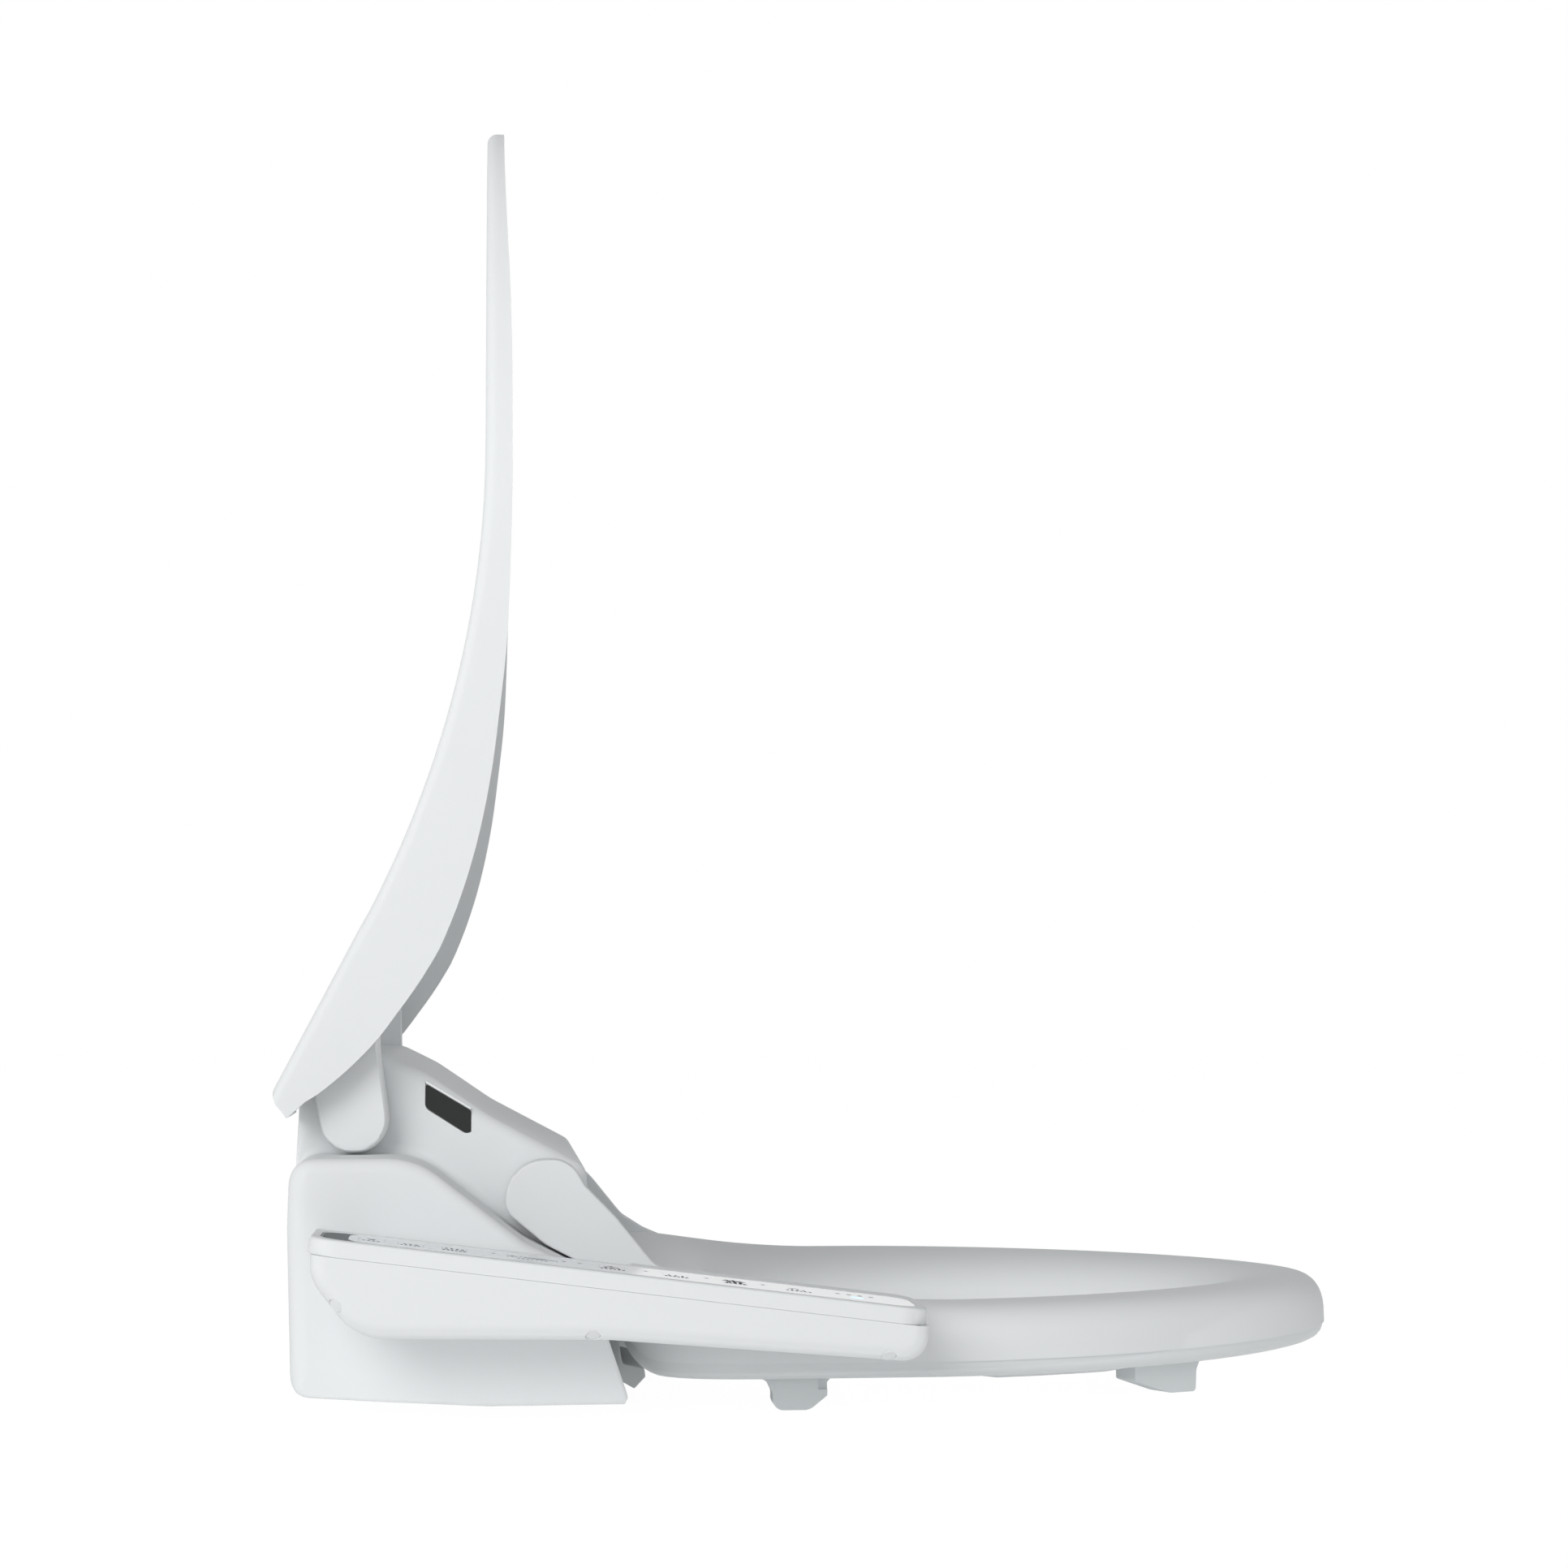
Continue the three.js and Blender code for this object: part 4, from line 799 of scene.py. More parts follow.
def makeArmBezel():
    outer, inner, rear, long = -arm["outer"], -arm["innerFront"], -arm["innerRear"], arm["length"]
    step, wide, small = alongPanel(arm["stepAt"]), arm["bezelCorner"], arm["stepCorner"]
    plan = [(outer, long, wide), (inner, long, wide), (inner, step, small), (rear, step, small),
            (rear, 0, small), (outer, 0, wide)]
    bezel = bmesh.new()
    face = bezel.faces.new([bezel.verts.new((x, -s, -arm["bezel"])) for x, s, _ in plan])
    carried(bezel, [face], (0, 0, arm["bezel"]))
    for x, s, radius in plan:
        corner = [e for e in bezel.edges if upright(e)
                  and all(abs(v.co.x - x) + abs(v.co.y + s) < touching for v in e.verts)]
        bevelled(bezel, corner, radius, 9)
    eased(bezel, arm["bezelEdge"], 4, 60, lambda e: all(v.co.z > -touching for v in e.verts))
    bezel = cut(bezel, strip(arm["stripHalf"], arm["rim"], long - arm["rim"], arm["stripDeep"], 1,
                             arm["stripRadius"]), *keyPads(arm["keyGap"], -20, 5).values())
    piece("arm_bezel", onPanel(bezel), "white_gloss", "casing", ["control_arm_bezel"], soften=0.3)


def makeArmFilm():
    fit, near, far = arm["stripHalf"] - film["fit"], arm["rim"] + film["lens"], arm["length"] - arm["rim"]
    low, radius = film["low"], arm["stripRadius"]
    sheet = cut(strip(fit, near, far - film["fit"], low, film["top"], radius - 0.2, film["edge"]),
                *keyPads(arm["filmGap"], -3, 3).values())
    piece("arm_film", onPanel(sheet), "overlay_white", "casing", ["control_overlay"])
    line = cut(strip(fit + 0.3, near - 0.3, far - 0.05, low, film["lineTop"], radius),
               strip(fit - 0.5, near + 0.5, far - 0.9, -3, 3, radius - 0.7))
    piece("film_line", onPanel(line), "lineGrey", "casing", slot="overlay_white")
    lens = cut(strip(fit - 3.5, arm["rim"] + 1, near + 12, low, film["lensTop"], radius - 0.2),
               strip(fit + 0.25, near - 0.25, 150, -3, 3, radius))
    piece("arm_lens", onPanel(lens), "statusGrey", "casing", ["status_lens"], "dark_lens")
    for name, pad in keyPads(0, arm["keyDeep"], arm["keyTop"], arm["keyEdge"]).items():
        piece("cap_" + name, onPanel(pad), "overlay_white", bodyOf("key_" + name), ["key_" + name])


makeArmCase()
makeArmBezel()
makeArmFilm()
print("control arm made")


# Small signs on the keys and the film, printed as a thin raised ink: rings, dots, strokes, rows of bars and
# rays. Each starts with its place across and along from the middle of its key, then its own sizes.
signs = {
    "high": 0.05, "raise": -0.06, "film": -0.12, "dark": ("front_wash", "dry", "seat_heat", "water_heat"),
    "keys": {
        "stop": [("ring", 1, 0, 4.2, 0.7), ("stroke", 1, 0, 3, 3), ("bars", -6.6, 0, 4, 2.1, 2.4, 1.1)],
        "rear_wash": [("ring", 4, 0, 3.8, 0.7), ("bars", -1.4, 0, 3, 2.6, 4.2, 0.8, 14),
                      ("bars", -6.8, 0, 5, 1.9, 2.2, 1)],
        "front_wash": [("ring", 5, -2.2, 2.6, 0.9), ("ring", 5, 2.6, 2.2, 0.9),
                       ("bars", 0.6, 0, 4, 2.4, 3, 1.1), ("bars", -6.6, 0, 6, 1.8, 3, 1.1)],
        "pressure": [("stroke", 0, -8.8, 4.4, 0.9), ("stroke", 0, -8.8, 4.4, 0.9, 90),
                     ("stroke", 0, 8.8, 4.4, 1, 90), ("bars", -6.6, 0, 7, 2, 2.2, 0.9),
                     *(("dot", 1, k, 0.6 + 0.09 * (k + 5)) for k in (-5, -3, -1, 1, 3, 5))],
        "dry": [("ring", 4, 0, 3.6, 0.8), ("rays", 4, 0, 3, 0.5, 2.9, 0.9),
                ("bars", -1.8, 0, 3, 3, 4, 0.9, 16), ("bars", -6.8, 0, 6, 1.9, 2.6, 1.1)],
        "seat_heat": [("ring", 3.4, 0, 4.2, 0.8), ("ring", 3.4, 0, 2, 0.7),
                      ("bars", -2.6, 0, 3, 3, 3, 0.9), ("bars", -6.8, 0, 6, 1.8, 2.6, 1.1)],
        "water_heat": [("dot", 3.4, 0, 2), ("rays", 3.4, 0, 8, 2.6, 5, 1.2),
                       ("bars", -2.8, 0, 3, 2.6, 3.4, 1.4), ("bars", -6.8, 0, 5, 2, 3, 1.4)],
    },
    "filmSigns": {        # by f instead of by key
        164: [("ring", 3, 0, 3.8, 0.8), ("stroke", 3, -1.4, 0.9, 4.4), ("bars", -3, 0, 3, 2.6, 3, 0.9),
              ("bars", -6.8, 0, 6, 2, 2.6, 1.1)],
        190: [("dot", 5, k, 1.1) for k in (-7.5, -2.5, 2.5, 7.5)],
        **{f: [("dot", 4, 0, 0.9)] for f in (30, 61, 68, 97, 124, 149)},
    },
    "lamp": (190, [("dot", -6, 0, 3, 24)]),
}


def disc(x, s, radius, around=16):
    bm = bmesh.new()
    here = Matrix.Translation((x, -s, 0))
    bmesh.ops.create_circle(bm, cap_ends=True, segments=around, radius=radius, matrix=here)
    return bm


def dot(*spec):
    return [disc(*spec)]


def ringSign(x, s, radius, width):
    bm = disc(x, s, radius, 28)
    bmesh.ops.inset_region(bm, faces=list(bm.faces), thickness=width)
    bmesh.ops.delete(bm, geom=[f for f in bm.faces if len(f.verts) > 4], context="FACES")
    return [bm]


def stroke(x, s, long, wide, angle=0):
    bm = bmesh.new()
    turned = Matrix.Translation((x, -s, 0)) @ Matrix.Rotation(math.radians(angle), 4, "Z")
    bmesh.ops.create_grid(bm, x_segments=1, y_segments=1, size=0.5,
                          matrix=turned @ Matrix.Diagonal((long, wide, 1, 1)))
    return [bm]


def bars(x, s, count, apart, *spec):
    return [bm for k in range(count) for bm in stroke(x, s + (k - (count - 1) / 2) * apart, *spec)]


def rays(x, s, count, near, far, wide):
    made, middle = [], (near + far) / 2
    for k in range(count):
        a = 2 * math.pi * k / count
        made += stroke(x + middle * math.cos(a), s - middle * math.sin(a), far - near, wide, math.degrees(a))
    return made


def inked(shapes, f, z):        # the shapes round f on the panel, with their thickness
    draw = {"ring": ringSign, "dot": dot, "stroke": stroke, "bars": bars, "rays": rays}
    made = []
    for kind, across, along, *spec in shapes:
        made += draw[kind](arm["middle"] + across, alongPanel(f) + along, *spec)
    for bm in made:
        carried(bm, list(bm.faces), (0, 0, signs["high"]))
        bmesh.ops.translate(bm, vec=(0, 0, z), verts=bm.verts)
    return made


def makeSigns():
    for name, shapes in signs["keys"].items():
        drawn = together(*inked(shapes, arm["keys"][name][0], signs["raise"]))
        piece("sign_" + name, onPanel(drawn), "ink" if name in signs["dark"] else "paleInk",
              bodyOf("key_" + name), slot="overlay_white")
    drawn = [bm for f, shapes in signs["filmSigns"].items() for bm in inked(shapes, f, signs["film"])]
    piece("film_signs", onPanel(together(*drawn)), "paleInk", "casing", slot="overlay_white")
    f, shapes = signs["lamp"]
    piece("status_lamp", onPanel(*inked(shapes, f, signs["film"])), "lamp", "casing", slot="overlay_white")


makeSigns()
print("key signs made")


# Lid, drawn open: one bent sheet, its edge rolled forwards into a skirt that is deepest near the hinges.
# s runs up the sheet from its heel.
lid = {
    "half": 188, "widest": 403, "tip": 647.8, "power": 1.75, "wall": 3, "edge": 5, "heelDrop": 4.4,
    "heel": (-72, 145), "lean": math.radians(27.3), "straight": 91.06, "bendRadius": 480, "bend": 446,
    "bendMiddle": -456.5, "upper": 23.5, "upperSlope": 205,
    "cutHalf": 152.8, "cutTo": 33.6,
    "skirt": [(0, 11.4), (10, 18), (20, 22.6), (30.4, 26.6), (45, 30.9), (60, 33.4), (75, 35.5), (91, 36.6),
              (110, 35.6), (130, 33.6), (150, 30.9), (175, 27), (200, 22.9), (230, 19.2), (260, 15.6),
              (290, 13.4), (320, 12.6), (360, 12.4), (400, 11.6), (440, 10), (480, 8.8), (530, 8.6)],
    "columns": 48, "lowRows": 42, "highRows": 18, "cutRows": 6,
}


def through(points, at):        # a smooth curve through (place, value) points
    i = max(1, next((k for k, p in enumerate(points) if p[0] > at), len(points) - 1))
    (a, va), (b, vb) = points[i - 1], points[i]
    before, after = points[max(0, i - 2)], points[min(len(points) - 1, i + 1)]
    t = min(1, max(0, (at - a) / (b - a)))
    start = (vb - before[1]) / (b - before[0]) * (b - a)
    end = (after[1] - va) / (after[0] - a) * (b - a)
    return ((2 * t ** 3 - 3 * t ** 2 + 1) * va + (t ** 3 - 2 * t ** 2 + t) * start
            + (3 * t ** 2 - 2 * t ** 3) * vb + (t ** 3 - t ** 2) * end)


def lidLine(s):        # (f, z) of the sheet's outer face, and the way into the lid there
    heel, lean, bend = lid["heel"], lid["lean"], lid["bendRadius"]
    if s < lid["straight"]:
        point = Vector((heel[0] + s * math.sin(lean), heel[1] + s * math.cos(lean)))
        return point, Vector((math.cos(lean), -math.sin(lean)))
    middle = Vector((lid["bendMiddle"], lid["bend"]))
    turn = lean - (s - lid["straight"]) / bend
    if turn > 0:
        way = Vector((math.cos(turn), -math.sin(turn)))
        return middle + way * bend, way
    up = -turn * bend
    return Vector((lid["upper"] - up / lid["upperSlope"], lid["bend"] + up)), Vector((1, 0))


def lidHeight(z):        # s of the height z
    heel, lean = lid["heel"], lid["lean"]
    turn = math.asin(min(1, max(0, (lid["bend"] - z) / lid["bendRadius"])))
    if turn >= lean:
        return (z - heel[1]) / math.cos(lean)
    bent = lid["straight"] + (lean - turn) * lid["bendRadius"]
    return bent + max(0, z - lid["bend"])


def makeLid():
    edge, power, near, atSide = lid["edge"], lid["power"], 0.01, 0.9999
    columns, lowRows, highRows, cutRows = lid["columns"], lid["lowRows"], lid["highRows"], lid["cutRows"]
    half, rise = lid["half"] - edge, lid["tip"] - lid["widest"] - edge
    wide = lidHeight(lid["widest"])
    across = []
    for i in range(columns + 1):
        c = math.cos(math.pi * i / columns)
        across.append(math.copysign(abs(c) ** (2 / power), -c))
    cutColumn = min(range(columns + 1), key=lambda i: abs(across[i] * half + lid["cutHalf"]))
    across[cutColumn], across[columns - cutColumn] = -lid["cutHalf"] / half, lid["cutHalf"] / half
    rows = lowRows - cutRows
    low = [lid["cutTo"] * k / cutRows for k in range(cutRows + 1)]
    low += [lid["cutTo"] + (wide - lid["cutTo"]) * k / rows for k in range(1, rows + 1)]

    def topOf(u, out=0):        # s of the top edge, or of a point out beyond it
        return lidHeight(lid["widest"] + (rise + out) * max(0, 1 - abs(u) ** power) ** (1 / power))

    def spot(i, j):        # share across, and s
        u = across[i]
        return u, low[j] if j <= lowRows else wide + (topOf(u) - wide) * (j - lowRows) / highRows

    bm = bmesh.new()
    bmesh.ops.create_grid(bm, x_segments=columns, y_segments=lowRows + highRows, size=1)
    keys = {}
    for v in bm.verts:
        i = round((v.co.x + 1) / 2 * columns)
        j = round((v.co.y + 1) / 2 * (lowRows + highRows))
        keys[v] = spot(i, j)
    for v, (u, s) in keys.items():
        (f, z), _ = lidLine(s)
        v.co = (u * half, -f, z)
    spare = [face for face in bm.faces if all(abs(keys[v][0]) * half < lid["cutHalf"] + 0.1
                                              and keys[v][1] < lid["cutTo"] + 0.1 for v in face.verts)]
    bmesh.ops.delete(bm, geom=spare, context="FACES")
    keys = {v: key for v, key in keys.items() if v.is_valid}

    def onEdge(key):        # on the rolled edge: both sides, the top and the cheeks' feet
        u, s = key
        return abs(u) > atSide or s < near or (s > wide + near and abs(s - topOf(u)) < near)

    edges = [e for e in bm.edges if e.is_boundary and all(onEdge(keys[v]) for v in e.verts)
             and e.calc_length() > 1e-6]

    def rolled(out, deep, share):        # a point out beyond the sheet's edge and deep into the lid
        def place(key):
            u, s = key
            x, at = u * half, s
            if s > wide + near or (abs(u) > atSide and abs(s - wide) < near):
                x, at = u * (half + out), topOf(u, out)
            elif abs(u) > atSide:
                x = u * (half + out)
            depth = deep + share * (through(lid["skirt"], max(0, s)) - edge)
            if s < near:
                at = s + edge - out - lid["heelDrop"] * (depth / lid["skirt"][0][1]) ** 1.3
            point, way = lidLine(at)
            point = point + way * depth
            return x, -point.x, point.y
        return place

    for v, (u, s) in keys.items():        # the cheeks' feet start an edge's radius up
        if s < near:
            v.co = rolled(0, 0, 0)((u, s))
    turns = 6
    for k in range(1, turns + 1):
        a = math.pi / 2 * k / turns
        edges, keys = grown(bm, edges, keys, rolled(edge * math.sin(a), edge * (1 - math.cos(a)), 0))
    for share in (0.25, 0.5, 0.75, 1):
        edges, keys = grown(bm, edges, keys, rolled(edge, edge, share))
    bmesh.ops.remove_doubles(bm, verts=bm.verts, dist=near)
    bmesh.ops.recalc_face_normals(bm, faces=bm.faces)
    if sum(face.normal.y * face.calc_area() for face in bm.faces) < 0:        # the back is the outside
        bmesh.ops.reverse_faces(bm, faces=bm.faces)
    sheet = loose(bm)
    thick = sheet.modifiers.new("wall", "SOLIDIFY")
    thick.thickness, thick.offset, thick.use_even_offset = lid["wall"], -1, True
    piece("lid_cover", settled(sheet), "white_gloss", "lid", ["lid_shell"], sharp=50, soften=0.7)


lidArm = {
    "inner": 152.8, "outer": 172, "round": 3.8, "faceShift": 1.3,
    "bufferRadius": 5.9, "buffer": (66, 597.6), "bufferDepths": (26.3, 31.6),
    "corners": [(-53.6, 149, 0), (-46.7, 119.6, 14), (-18.6, 119.6, 14.5), (-18.6, 136.5, 30), (-23, 166, 12),
                (-23.8, 193, 4), (-39, 204, 0), (-52, 176, 0)],
}


def makeLidArms():
    outer, (x, z) = lidArm["outer"], lidArm["buffer"]
    for side, sign in sides.items():
        hinge = slab(lidArm["corners"], lidArm["inner"], outer)
        bevelled(hinge, edgesAt(hinge, outer), lidArm["round"], 2)
        face = [v for v in hinge.verts if abs(v.co.x - outer) < touching]
        bmesh.ops.translate(hinge, vec=(0, -lidArm["faceShift"], 0), verts=face)
        piece("lid_arm_" + side, onSide(sign, hinge), "white_gloss", "lid", soften=0.4)
        buffer = bar(lidArm["bufferRadius"], *((sign * x, -f, z) for f in lidArm["bufferDepths"]))
        piece("buffer_" + side, buffer, "grey_rubber", "lid", ["lid_bumper_" + side], soften=1.4)


makeLid()
makeLidArms()
print("lid made")


# Seat ring: an outline round the hole, carrying a crowned section. o is the distance in from its outer edge.
ring = {
    "half": 188, "widest": 230, "tip": 467, "rear": 90, "frontPower": 1.75, "rearPower": 7,
    "holeHalf": 110, "holeFront": 178, "holeRear": 81, "holeFrontPower": 1.9, "holeRearPower": 2.4,
    "crest": 48.6, "rise": 14.7, "riseStart": 215, "crestInset": 24, "foot": 23.4, "wall": 3,
    "fullness": 0.66, "holeFullness": 0.9,
    "steps": 192, "crown": 22, "under": 15.5, "liftFrom": 109, "liftRadius": 20,
    "ridge": (256, 262, 322, 336), "ridgeDepth": 1.5,
}


def reachAt(angle, half, reach, power):
    across, along = abs(math.cos(angle)) / half, abs(math.sin(angle)) / reach
    return 1 / (across ** power + along ** power) ** (1 / power)


def ringEdges(angle):        # distance of the outer edge and of the hole from the ring's middle
    if math.sin(angle) >= 0:
        return (reachAt(angle, ring["half"], ring["tip"] - ring["widest"], ring["frontPower"]),
                reachAt(angle, ring["holeHalf"], ring["holeFront"], ring["holeFrontPower"]))
    return (reachAt(angle, ring["half"], ring["widest"] - ring["rear"], ring["rearPower"]),
            reachAt(angle, ring["holeHalf"], ring["holeRear"], ring["holeRearPower"]))


def ringSpot(angle, o):
    radius = ringEdges(angle)[0] - o
    return radius * math.cos(angle), ring["widest"] + radius * math.sin(angle)


def lift(f):        # how far the ring's underside and joint curve up towards its rear end
    past = min(ring["liftRadius"] * 0.97, max(0, ring["liftFrom"] - f))
    return ring["liftRadius"] - math.sqrt(ring["liftRadius"] ** 2 - past ** 2)


def crown(angle, d, steps):        # the ring's top, d inside its skin, from the outer edge to the hole
    outer, inner = ringEdges(angle)
    width = outer - inner
    crestSpot = ringSpot(angle, ring["crestInset"])
    crest = ring["crest"] + ring["rise"] * (max(0, ring["riseStart"] - crestSpot[1]) / 120) ** 1.8
    points = []
    for i in range(steps + 1):
        t = math.pi * i / steps
        outward = math.cos(t) > 0
        reach = (ring["crestInset"] if outward else width - ring["crestInset"]) - d
        along = math.cos(t) ** ring["fullness"] if outward else -(abs(math.cos(t)) ** ring["holeFullness"])
        up = max(0, math.sin(t)) ** ring["fullness" if outward else "holeFullness"]
        o = ring["crestInset"] - along * reach
        foot = ring["foot"] + lift(ringSpot(angle, o)[1])
        points.append((o, foot + (crest - d - foot) * up))
    return points


def topSection(angle):
    return crown(angle, 0, ring["crown"]) + crown(angle, ring["wall"], 10)[::-1]


def underSection(angle):
    outer, inner = ringEdges(angle)
    width, top, low = outer - inner, ring["foot"] - 0.12, ring["under"]
    start, full, fade, end = ring["ridge"]
    f = ringSpot(angle, 10)[1]
    ridge = low - ring["ridgeDepth"] * max(0, min(1, (f - start) / (full - start), (end - f) / (end - fade)))
    shape = [(1.1, top), (1.1, top - 2), (1.9, top - 4), (3.4, top - 5.8), (5.6, low + 0.8), (8.5, low),
             (11, low), (12.5, ridge), (34, ridge), (35.5, low),
             (width - 8, low), (width - 4, low + 0.8), (width - 1.6, low + 3), (width - 1, top),
             (width - 4, top), (width - 6, low + 3), (8.5, low + 3), (5.6, low + 4.6), (4, top)]
    return [(o, z + lift(ringSpot(angle, o)[1])) for o, z in shape]


def ringLoft(section):
    bm = bmesh.new()
    first = bmesh.ops.create_circle(bm, segments=ring["steps"], radius=1)["verts"]
    keys = {}
    for v in first:
        angle = math.atan2(v.co.y, v.co.x)
        keys[v] = (angle, section(angle))

    def stage(k):
        def place(key):
            angle, shape = key
            o, z = shape[k % len(shape)]
            x, f = ringSpot(angle, o)
            return x, -f, z
        return place

    for v, key in keys.items():
        v.co = stage(0)(key)
    edges = list(bm.edges)
    for k in range(1, len(section(0)) + 1):
        edges, keys = grown(bm, edges, keys, stage(k))
    return bm


seatArm = {
    "inner": 152.8, "outer": 172, "round": 3.2, "innerRound": 2.6,
    "corners": [(35.4, 92.2, 9), (35.4, 115.8, 18.4), (65, 115.8, 13), (71.8, 104, 3), (86.5, 89, 12),
                (103.5, 68.3, 14), (116, 60.4, 8), (131, 54, 3), (131, 34, 3), (101, 34, 3), (93, 46, 6),
                (81.4, 55.1, 1), (81, 63, 2.5), (54, 76.9, 20)],
}


def makeSeat():
    piece("seat_cover", ringLoft(topSection), "white_gloss", "seat", ["seat_top_shell"], sharp=55)
    for side, sign in sides.items():
        hinge = slab(seatArm["corners"], seatArm["inner"], seatArm["outer"])
        bevelled(hinge, edgesAt(hinge, seatArm["outer"]), seatArm["round"], 3)
        bevelled(hinge, edgesAt(hinge, seatArm["inner"]), seatArm["innerRound"], 3)
        piece("seat_arm_" + side, onSide(sign, hinge), "white_gloss", "seat", soften=0.4)
    piece("seat_underside", ringLoft(underSection), "white_satin", "seat", ["seat_bottom_shell"], sharp=55)


feet = {
    "side": {"at": (163, 172), "half": 7, "turn": 0, "corner": 2.5,
             "notch": (1.4, 30, 8.6, 30, 9.4, 15), "shape": [
        (-20, 15.3), (-20, 15), (-15.4, 13.6, 5), (-12.6, 8, 3), (-12.6, 0, 5), (4.5, 0, 6), (12.8, 6.6, 1),
        (12.8, 12.6, 1), (14.6, 14.6, 1), (14.6, 15.3)]},
    "front": {"at": (123, 353), "half": 7, "turn": -29, "corner": 2.5, "shape": [
        (-22.5, 15.3), (-22.5, 7.6, 1.5), (0, 0.4, 8), (16.6, 0, 2), (17.2, 10.5, 4), (19.4, 14.6, 2),
        (21.5, 15.3)]},
}


def makeFeet():
    for name, foot in feet.items():
        (x, f), half = foot["at"], foot["half"]
        for side, sign in sides.items():
            pad = cut(slab(foot["shape"], -half, half), plate(-half, half, -30, 30, -1, 20, foot["corner"]),
                      how="INTERSECT")
            if "notch" in foot:
                deep, *rest = foot["notch"]
                pad = cut(pad, block(half - deep, *rest))
            turn = Matrix.Rotation(math.radians(foot["turn"]), 4, "Z")
            pad.transform(Matrix.Translation((x, -f, 0)) @ turn)
            piece(f"foot_{name}_{side}", onSide(sign, pad), "grey_rubber", "seat",
                  [f"seat_foot_{name}_{side}"], soften=0.4)


makeSeat()
makeFeet()
print("seat ring made")


# Parts that slide or turn out of the casing, and what its left side and back carry

nozzle = {
    "tip": (88, 15), "pitch": 28, "radius": 5, "spacing": 11,
    "hole": 0.45, "firstRow": 5, "rowStep": 2.2, "columnStep": 1.5, "depths": (0.42, 0.32),
}


def onNozzleLine(bm):        # drawn level, the tip at the origin and the rest behind it
    f, z = nozzle["tip"]
    bm.transform(Matrix.Translation((0, -f, z)) @ Matrix.Rotation(math.radians(nozzle["pitch"]), 4, "X"))
    return bm


def makeNozzles():
    for name, sign in (("wash", -1), ("bidet", 1)):
        node, middle = name + "_nozzle", sign * nozzle["spacing"]
        rod = bmesh.new()
        rod.from_mesh(frame["nodes"][node].data)
        bmesh.ops.scale(rod, vec=(1000, 1000, 1000), verts=rod.verts)
        bmesh.ops.remove_doubles(rod, verts=rod.verts, dist=0.01)
        piece(name + "_rod", rod, "white_satin", bodyOf(node), [node], sharp=28, soften=0.25)
        holes = []
        for row in range(3):
            for k in range(-1, 2):
                x, y = middle + k * nozzle["columnStep"], nozzle["firstRow"] + row * nozzle["rowStep"]
                ends = ((x, y, nozzle["radius"] - deep) for deep in nozzle["depths"])
                holes.append(bar(nozzle["hole"], *ends, 12))
        piece(name + "_holes", onNozzleLine(together(*holes)), "black_plastic", bodyOf(node))


# What slides out of the left side. x is measured from the casing's side, and a groove's heights from the
# piece's own underside.
sliders = {
    "cartridge": {"piece": "filter_box", "node": "deodorizer_cartridge", "finish": "white_satin",
                  "x": (-40, 0), "edge": (1, 3), "soften": 0.25,
                  "grooves": 4, "groove": (4, 5.6), "apart": 3.6, "inset": 5, "floor": -1.6},
    "button": {"piece": "release_cap", "node": "release_button", "finish": "grey_plastic",
               "x": (-11.6, 0.4), "edge": (1.2, 4), "soften": 0.2,
               "grooves": 3, "groove": (3.4, 4.3), "apart": 2.6, "inset": 3, "floor": -0.1},
}


def makeSliders():
    half = casing["half"]
    for name, spec in sliders.items():
        (f0, f1, z0, z1), (x0, x1), (low, high) = sideParts[name], spec["x"], spec["groove"]
        inset, node = spec["inset"], spec["node"]
        body = eased(block(half + x0, half + x1, f0, f1, z0, z1), *spec["edge"], 60)
        for k in range(spec["grooves"]):
            up = spec["apart"] * k
            body = cut(body, block(half + spec["floor"], half + 1, f0 + inset, f1 - inset,
                                   z0 + low + up, z0 + high + up))
        piece(spec["piece"], body, spec["finish"], bodyOf(node), [node], soften=spec["soften"])


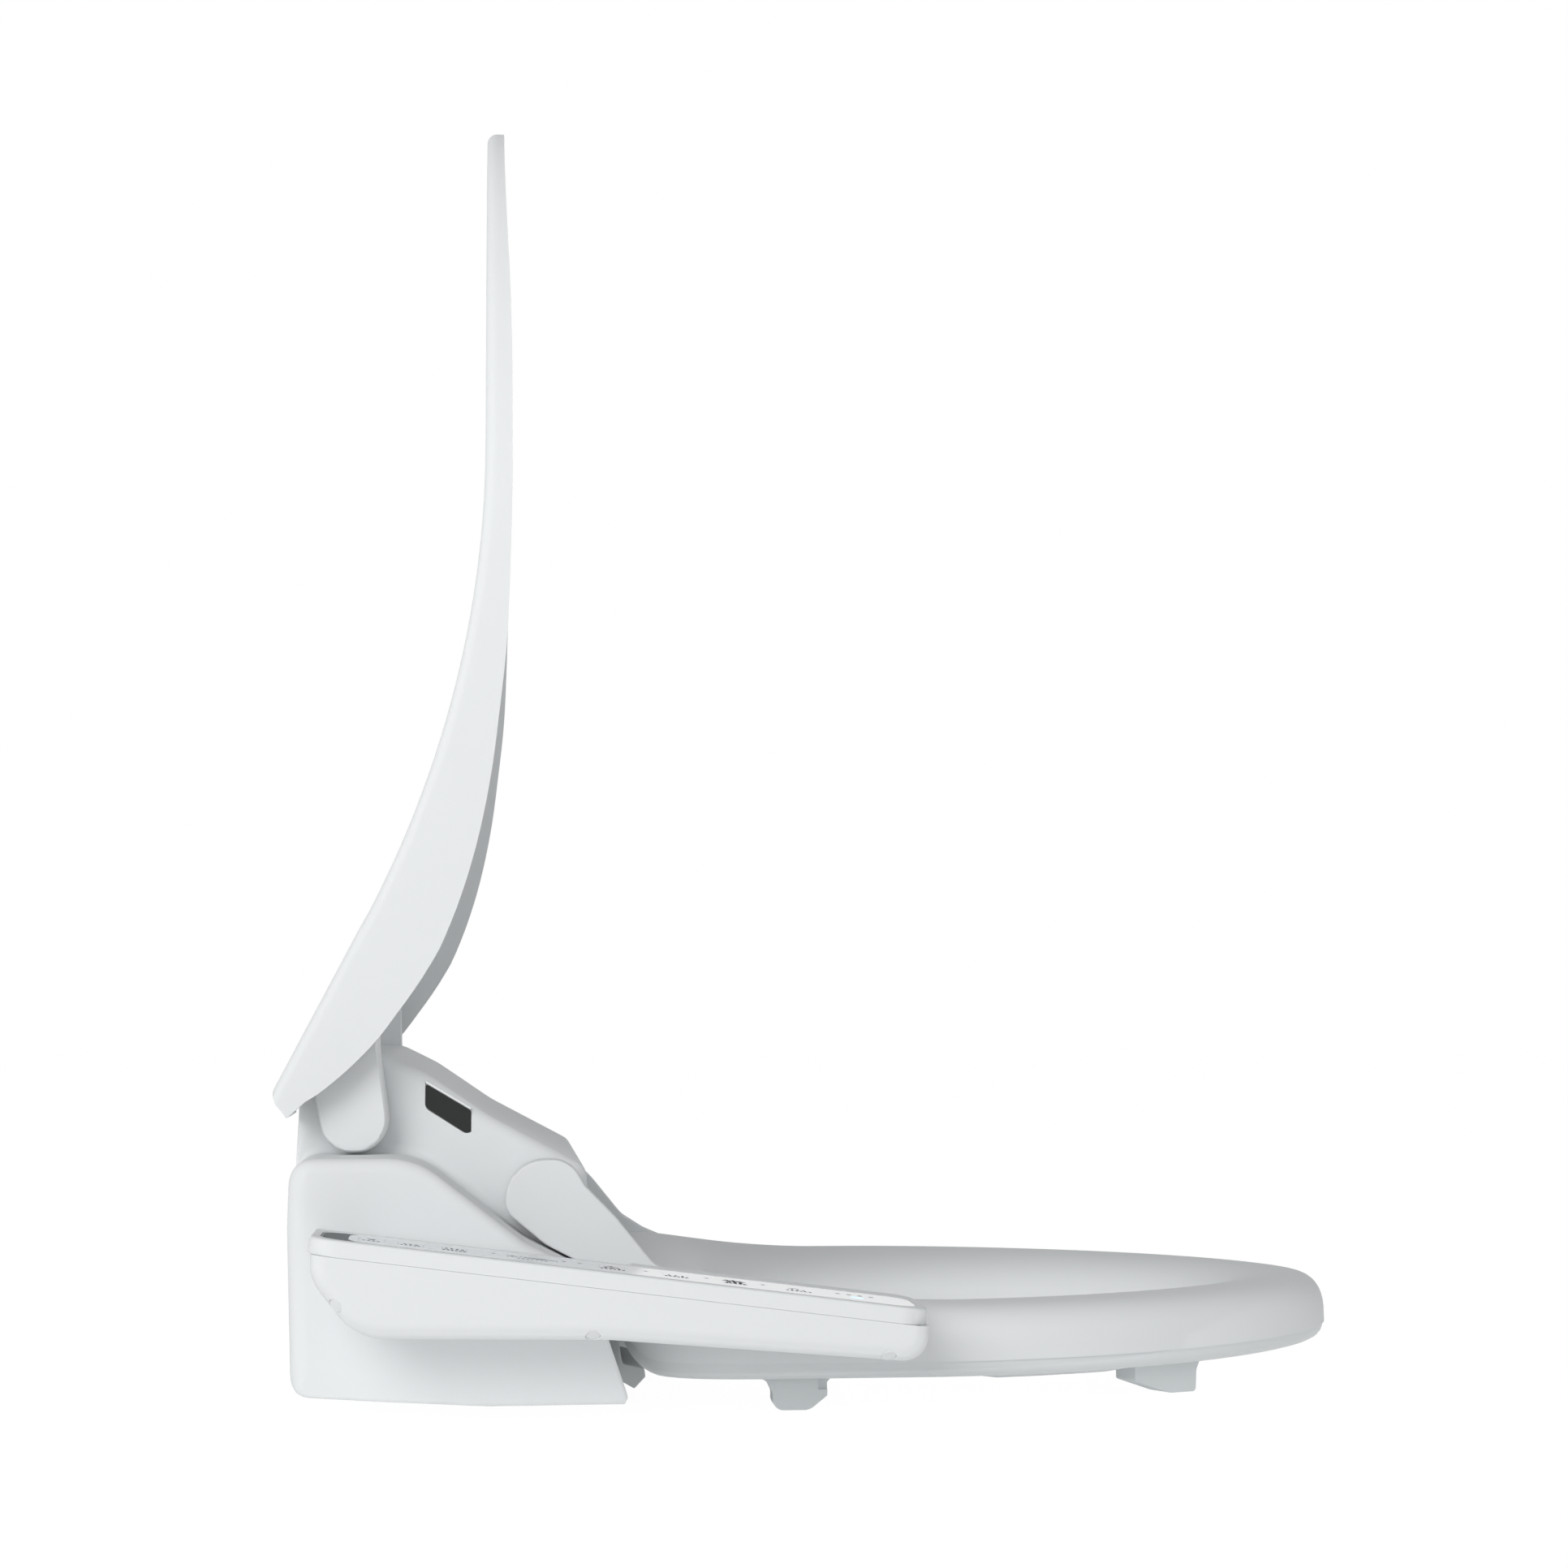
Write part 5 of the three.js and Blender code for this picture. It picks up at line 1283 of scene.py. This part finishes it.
inlet = {        # each bar is its radius, its ends in x and how many sides it has
    "thread": (10.4, 197, 222, 48), "bore": (6, 202, 224, 32), "nut": (13.5, 194.4, 204.6, 6), "edge": 0.8,
    "grooves": 7, "pitch": 1.7, "groove": (209.6, 210.4), "grooveTop": 11, "grooveFloor": (9.7, 209, 223, 48),
}
gland = {
    "profile": [(8, 52.4), (11, 52.4), (11, 55), (8, 55), (8, 63.4), (6.4, 66.4), (5.4, 78.6), (2.6, 78.6),
                (2.6, 60)],
    "grooves": 4, "pitch": 2.6, "groove": (68, 69.2), "grooveTop": 12, "grooveFloor": (4.9, 60, 80),
}
flap = {"corners": [(102.4, 9.8, 0.4), (97, 3.8, 0.3), (98, 2.9, 0.3), (103.9, 9.1, 0.3)],
        "sides": (63.9, 90.1), "edge": 0.25}


def makeInlet():
    f, z, _ = sideParts["inlet"]

    def turned(radius, x0, x1, around):
        return bar(radius, (x0, -f, z), (x1, -f, z), around)

    thread = eased(turned(*inlet["thread"]), inlet["edge"], 2, 60)
    for k in range(inlet["grooves"]):
        x0, x1 = (x + k * inlet["pitch"] for x in inlet["groove"])
        thread = cut(thread, cut(turned(inlet["grooveTop"], x0, x1, 48), turned(*inlet["grooveFloor"])))
    thread = cut(thread, turned(*inlet["bore"]))
    nut = eased(turned(*inlet["nut"]), inlet["edge"], 2, 40)
    piece("inlet_union", cut(thread, nut, how="UNION"), "brass", "casing", ["water_inlet"], sharp=30)


def makeGland():
    x, z, _ = sideParts["gland"]

    def turned(radius, y0, y1):
        return bar(radius, (x, y0, z), (x, y1, z), 40)

    sleeve = bmesh.new()
    line = [sleeve.verts.new((x + r, y, z)) for r, y in gland["profile"]]
    chain = [sleeve.edges.new(pair) for pair in zip(line, line[1:])]
    bmesh.ops.spin(sleeve, geom=line + chain, cent=(x, 0, z), axis=(0, 1, 0), angle=2 * math.pi, steps=40,
                   use_merge=True)
    bmesh.ops.holes_fill(sleeve, edges=[e for e in sleeve.edges if e.is_boundary], sides=0)
    bmesh.ops.recalc_face_normals(sleeve, faces=sleeve.faces)
    for k in range(gland["grooves"]):
        y0, y1 = (y + gland["pitch"] * k for y in gland["groove"])
        sleeve = cut(sleeve, cut(turned(gland["grooveTop"], y0, y1), turned(*gland["grooveFloor"])))
    piece("cord_gland", sleeve, "black_plastic", "casing", ["power_gland"], sharp=30)


makeNozzles()
makeSliders()
makeInlet()
makeGland()
piece("air_flap", slab(flap["corners"], *flap["sides"], flap["edge"]), "white_satin", bodyOf("dryer_flap"),
      ["dryer_flap"])
print("nozzles, cartridge, button, inlet, gland and flap made")
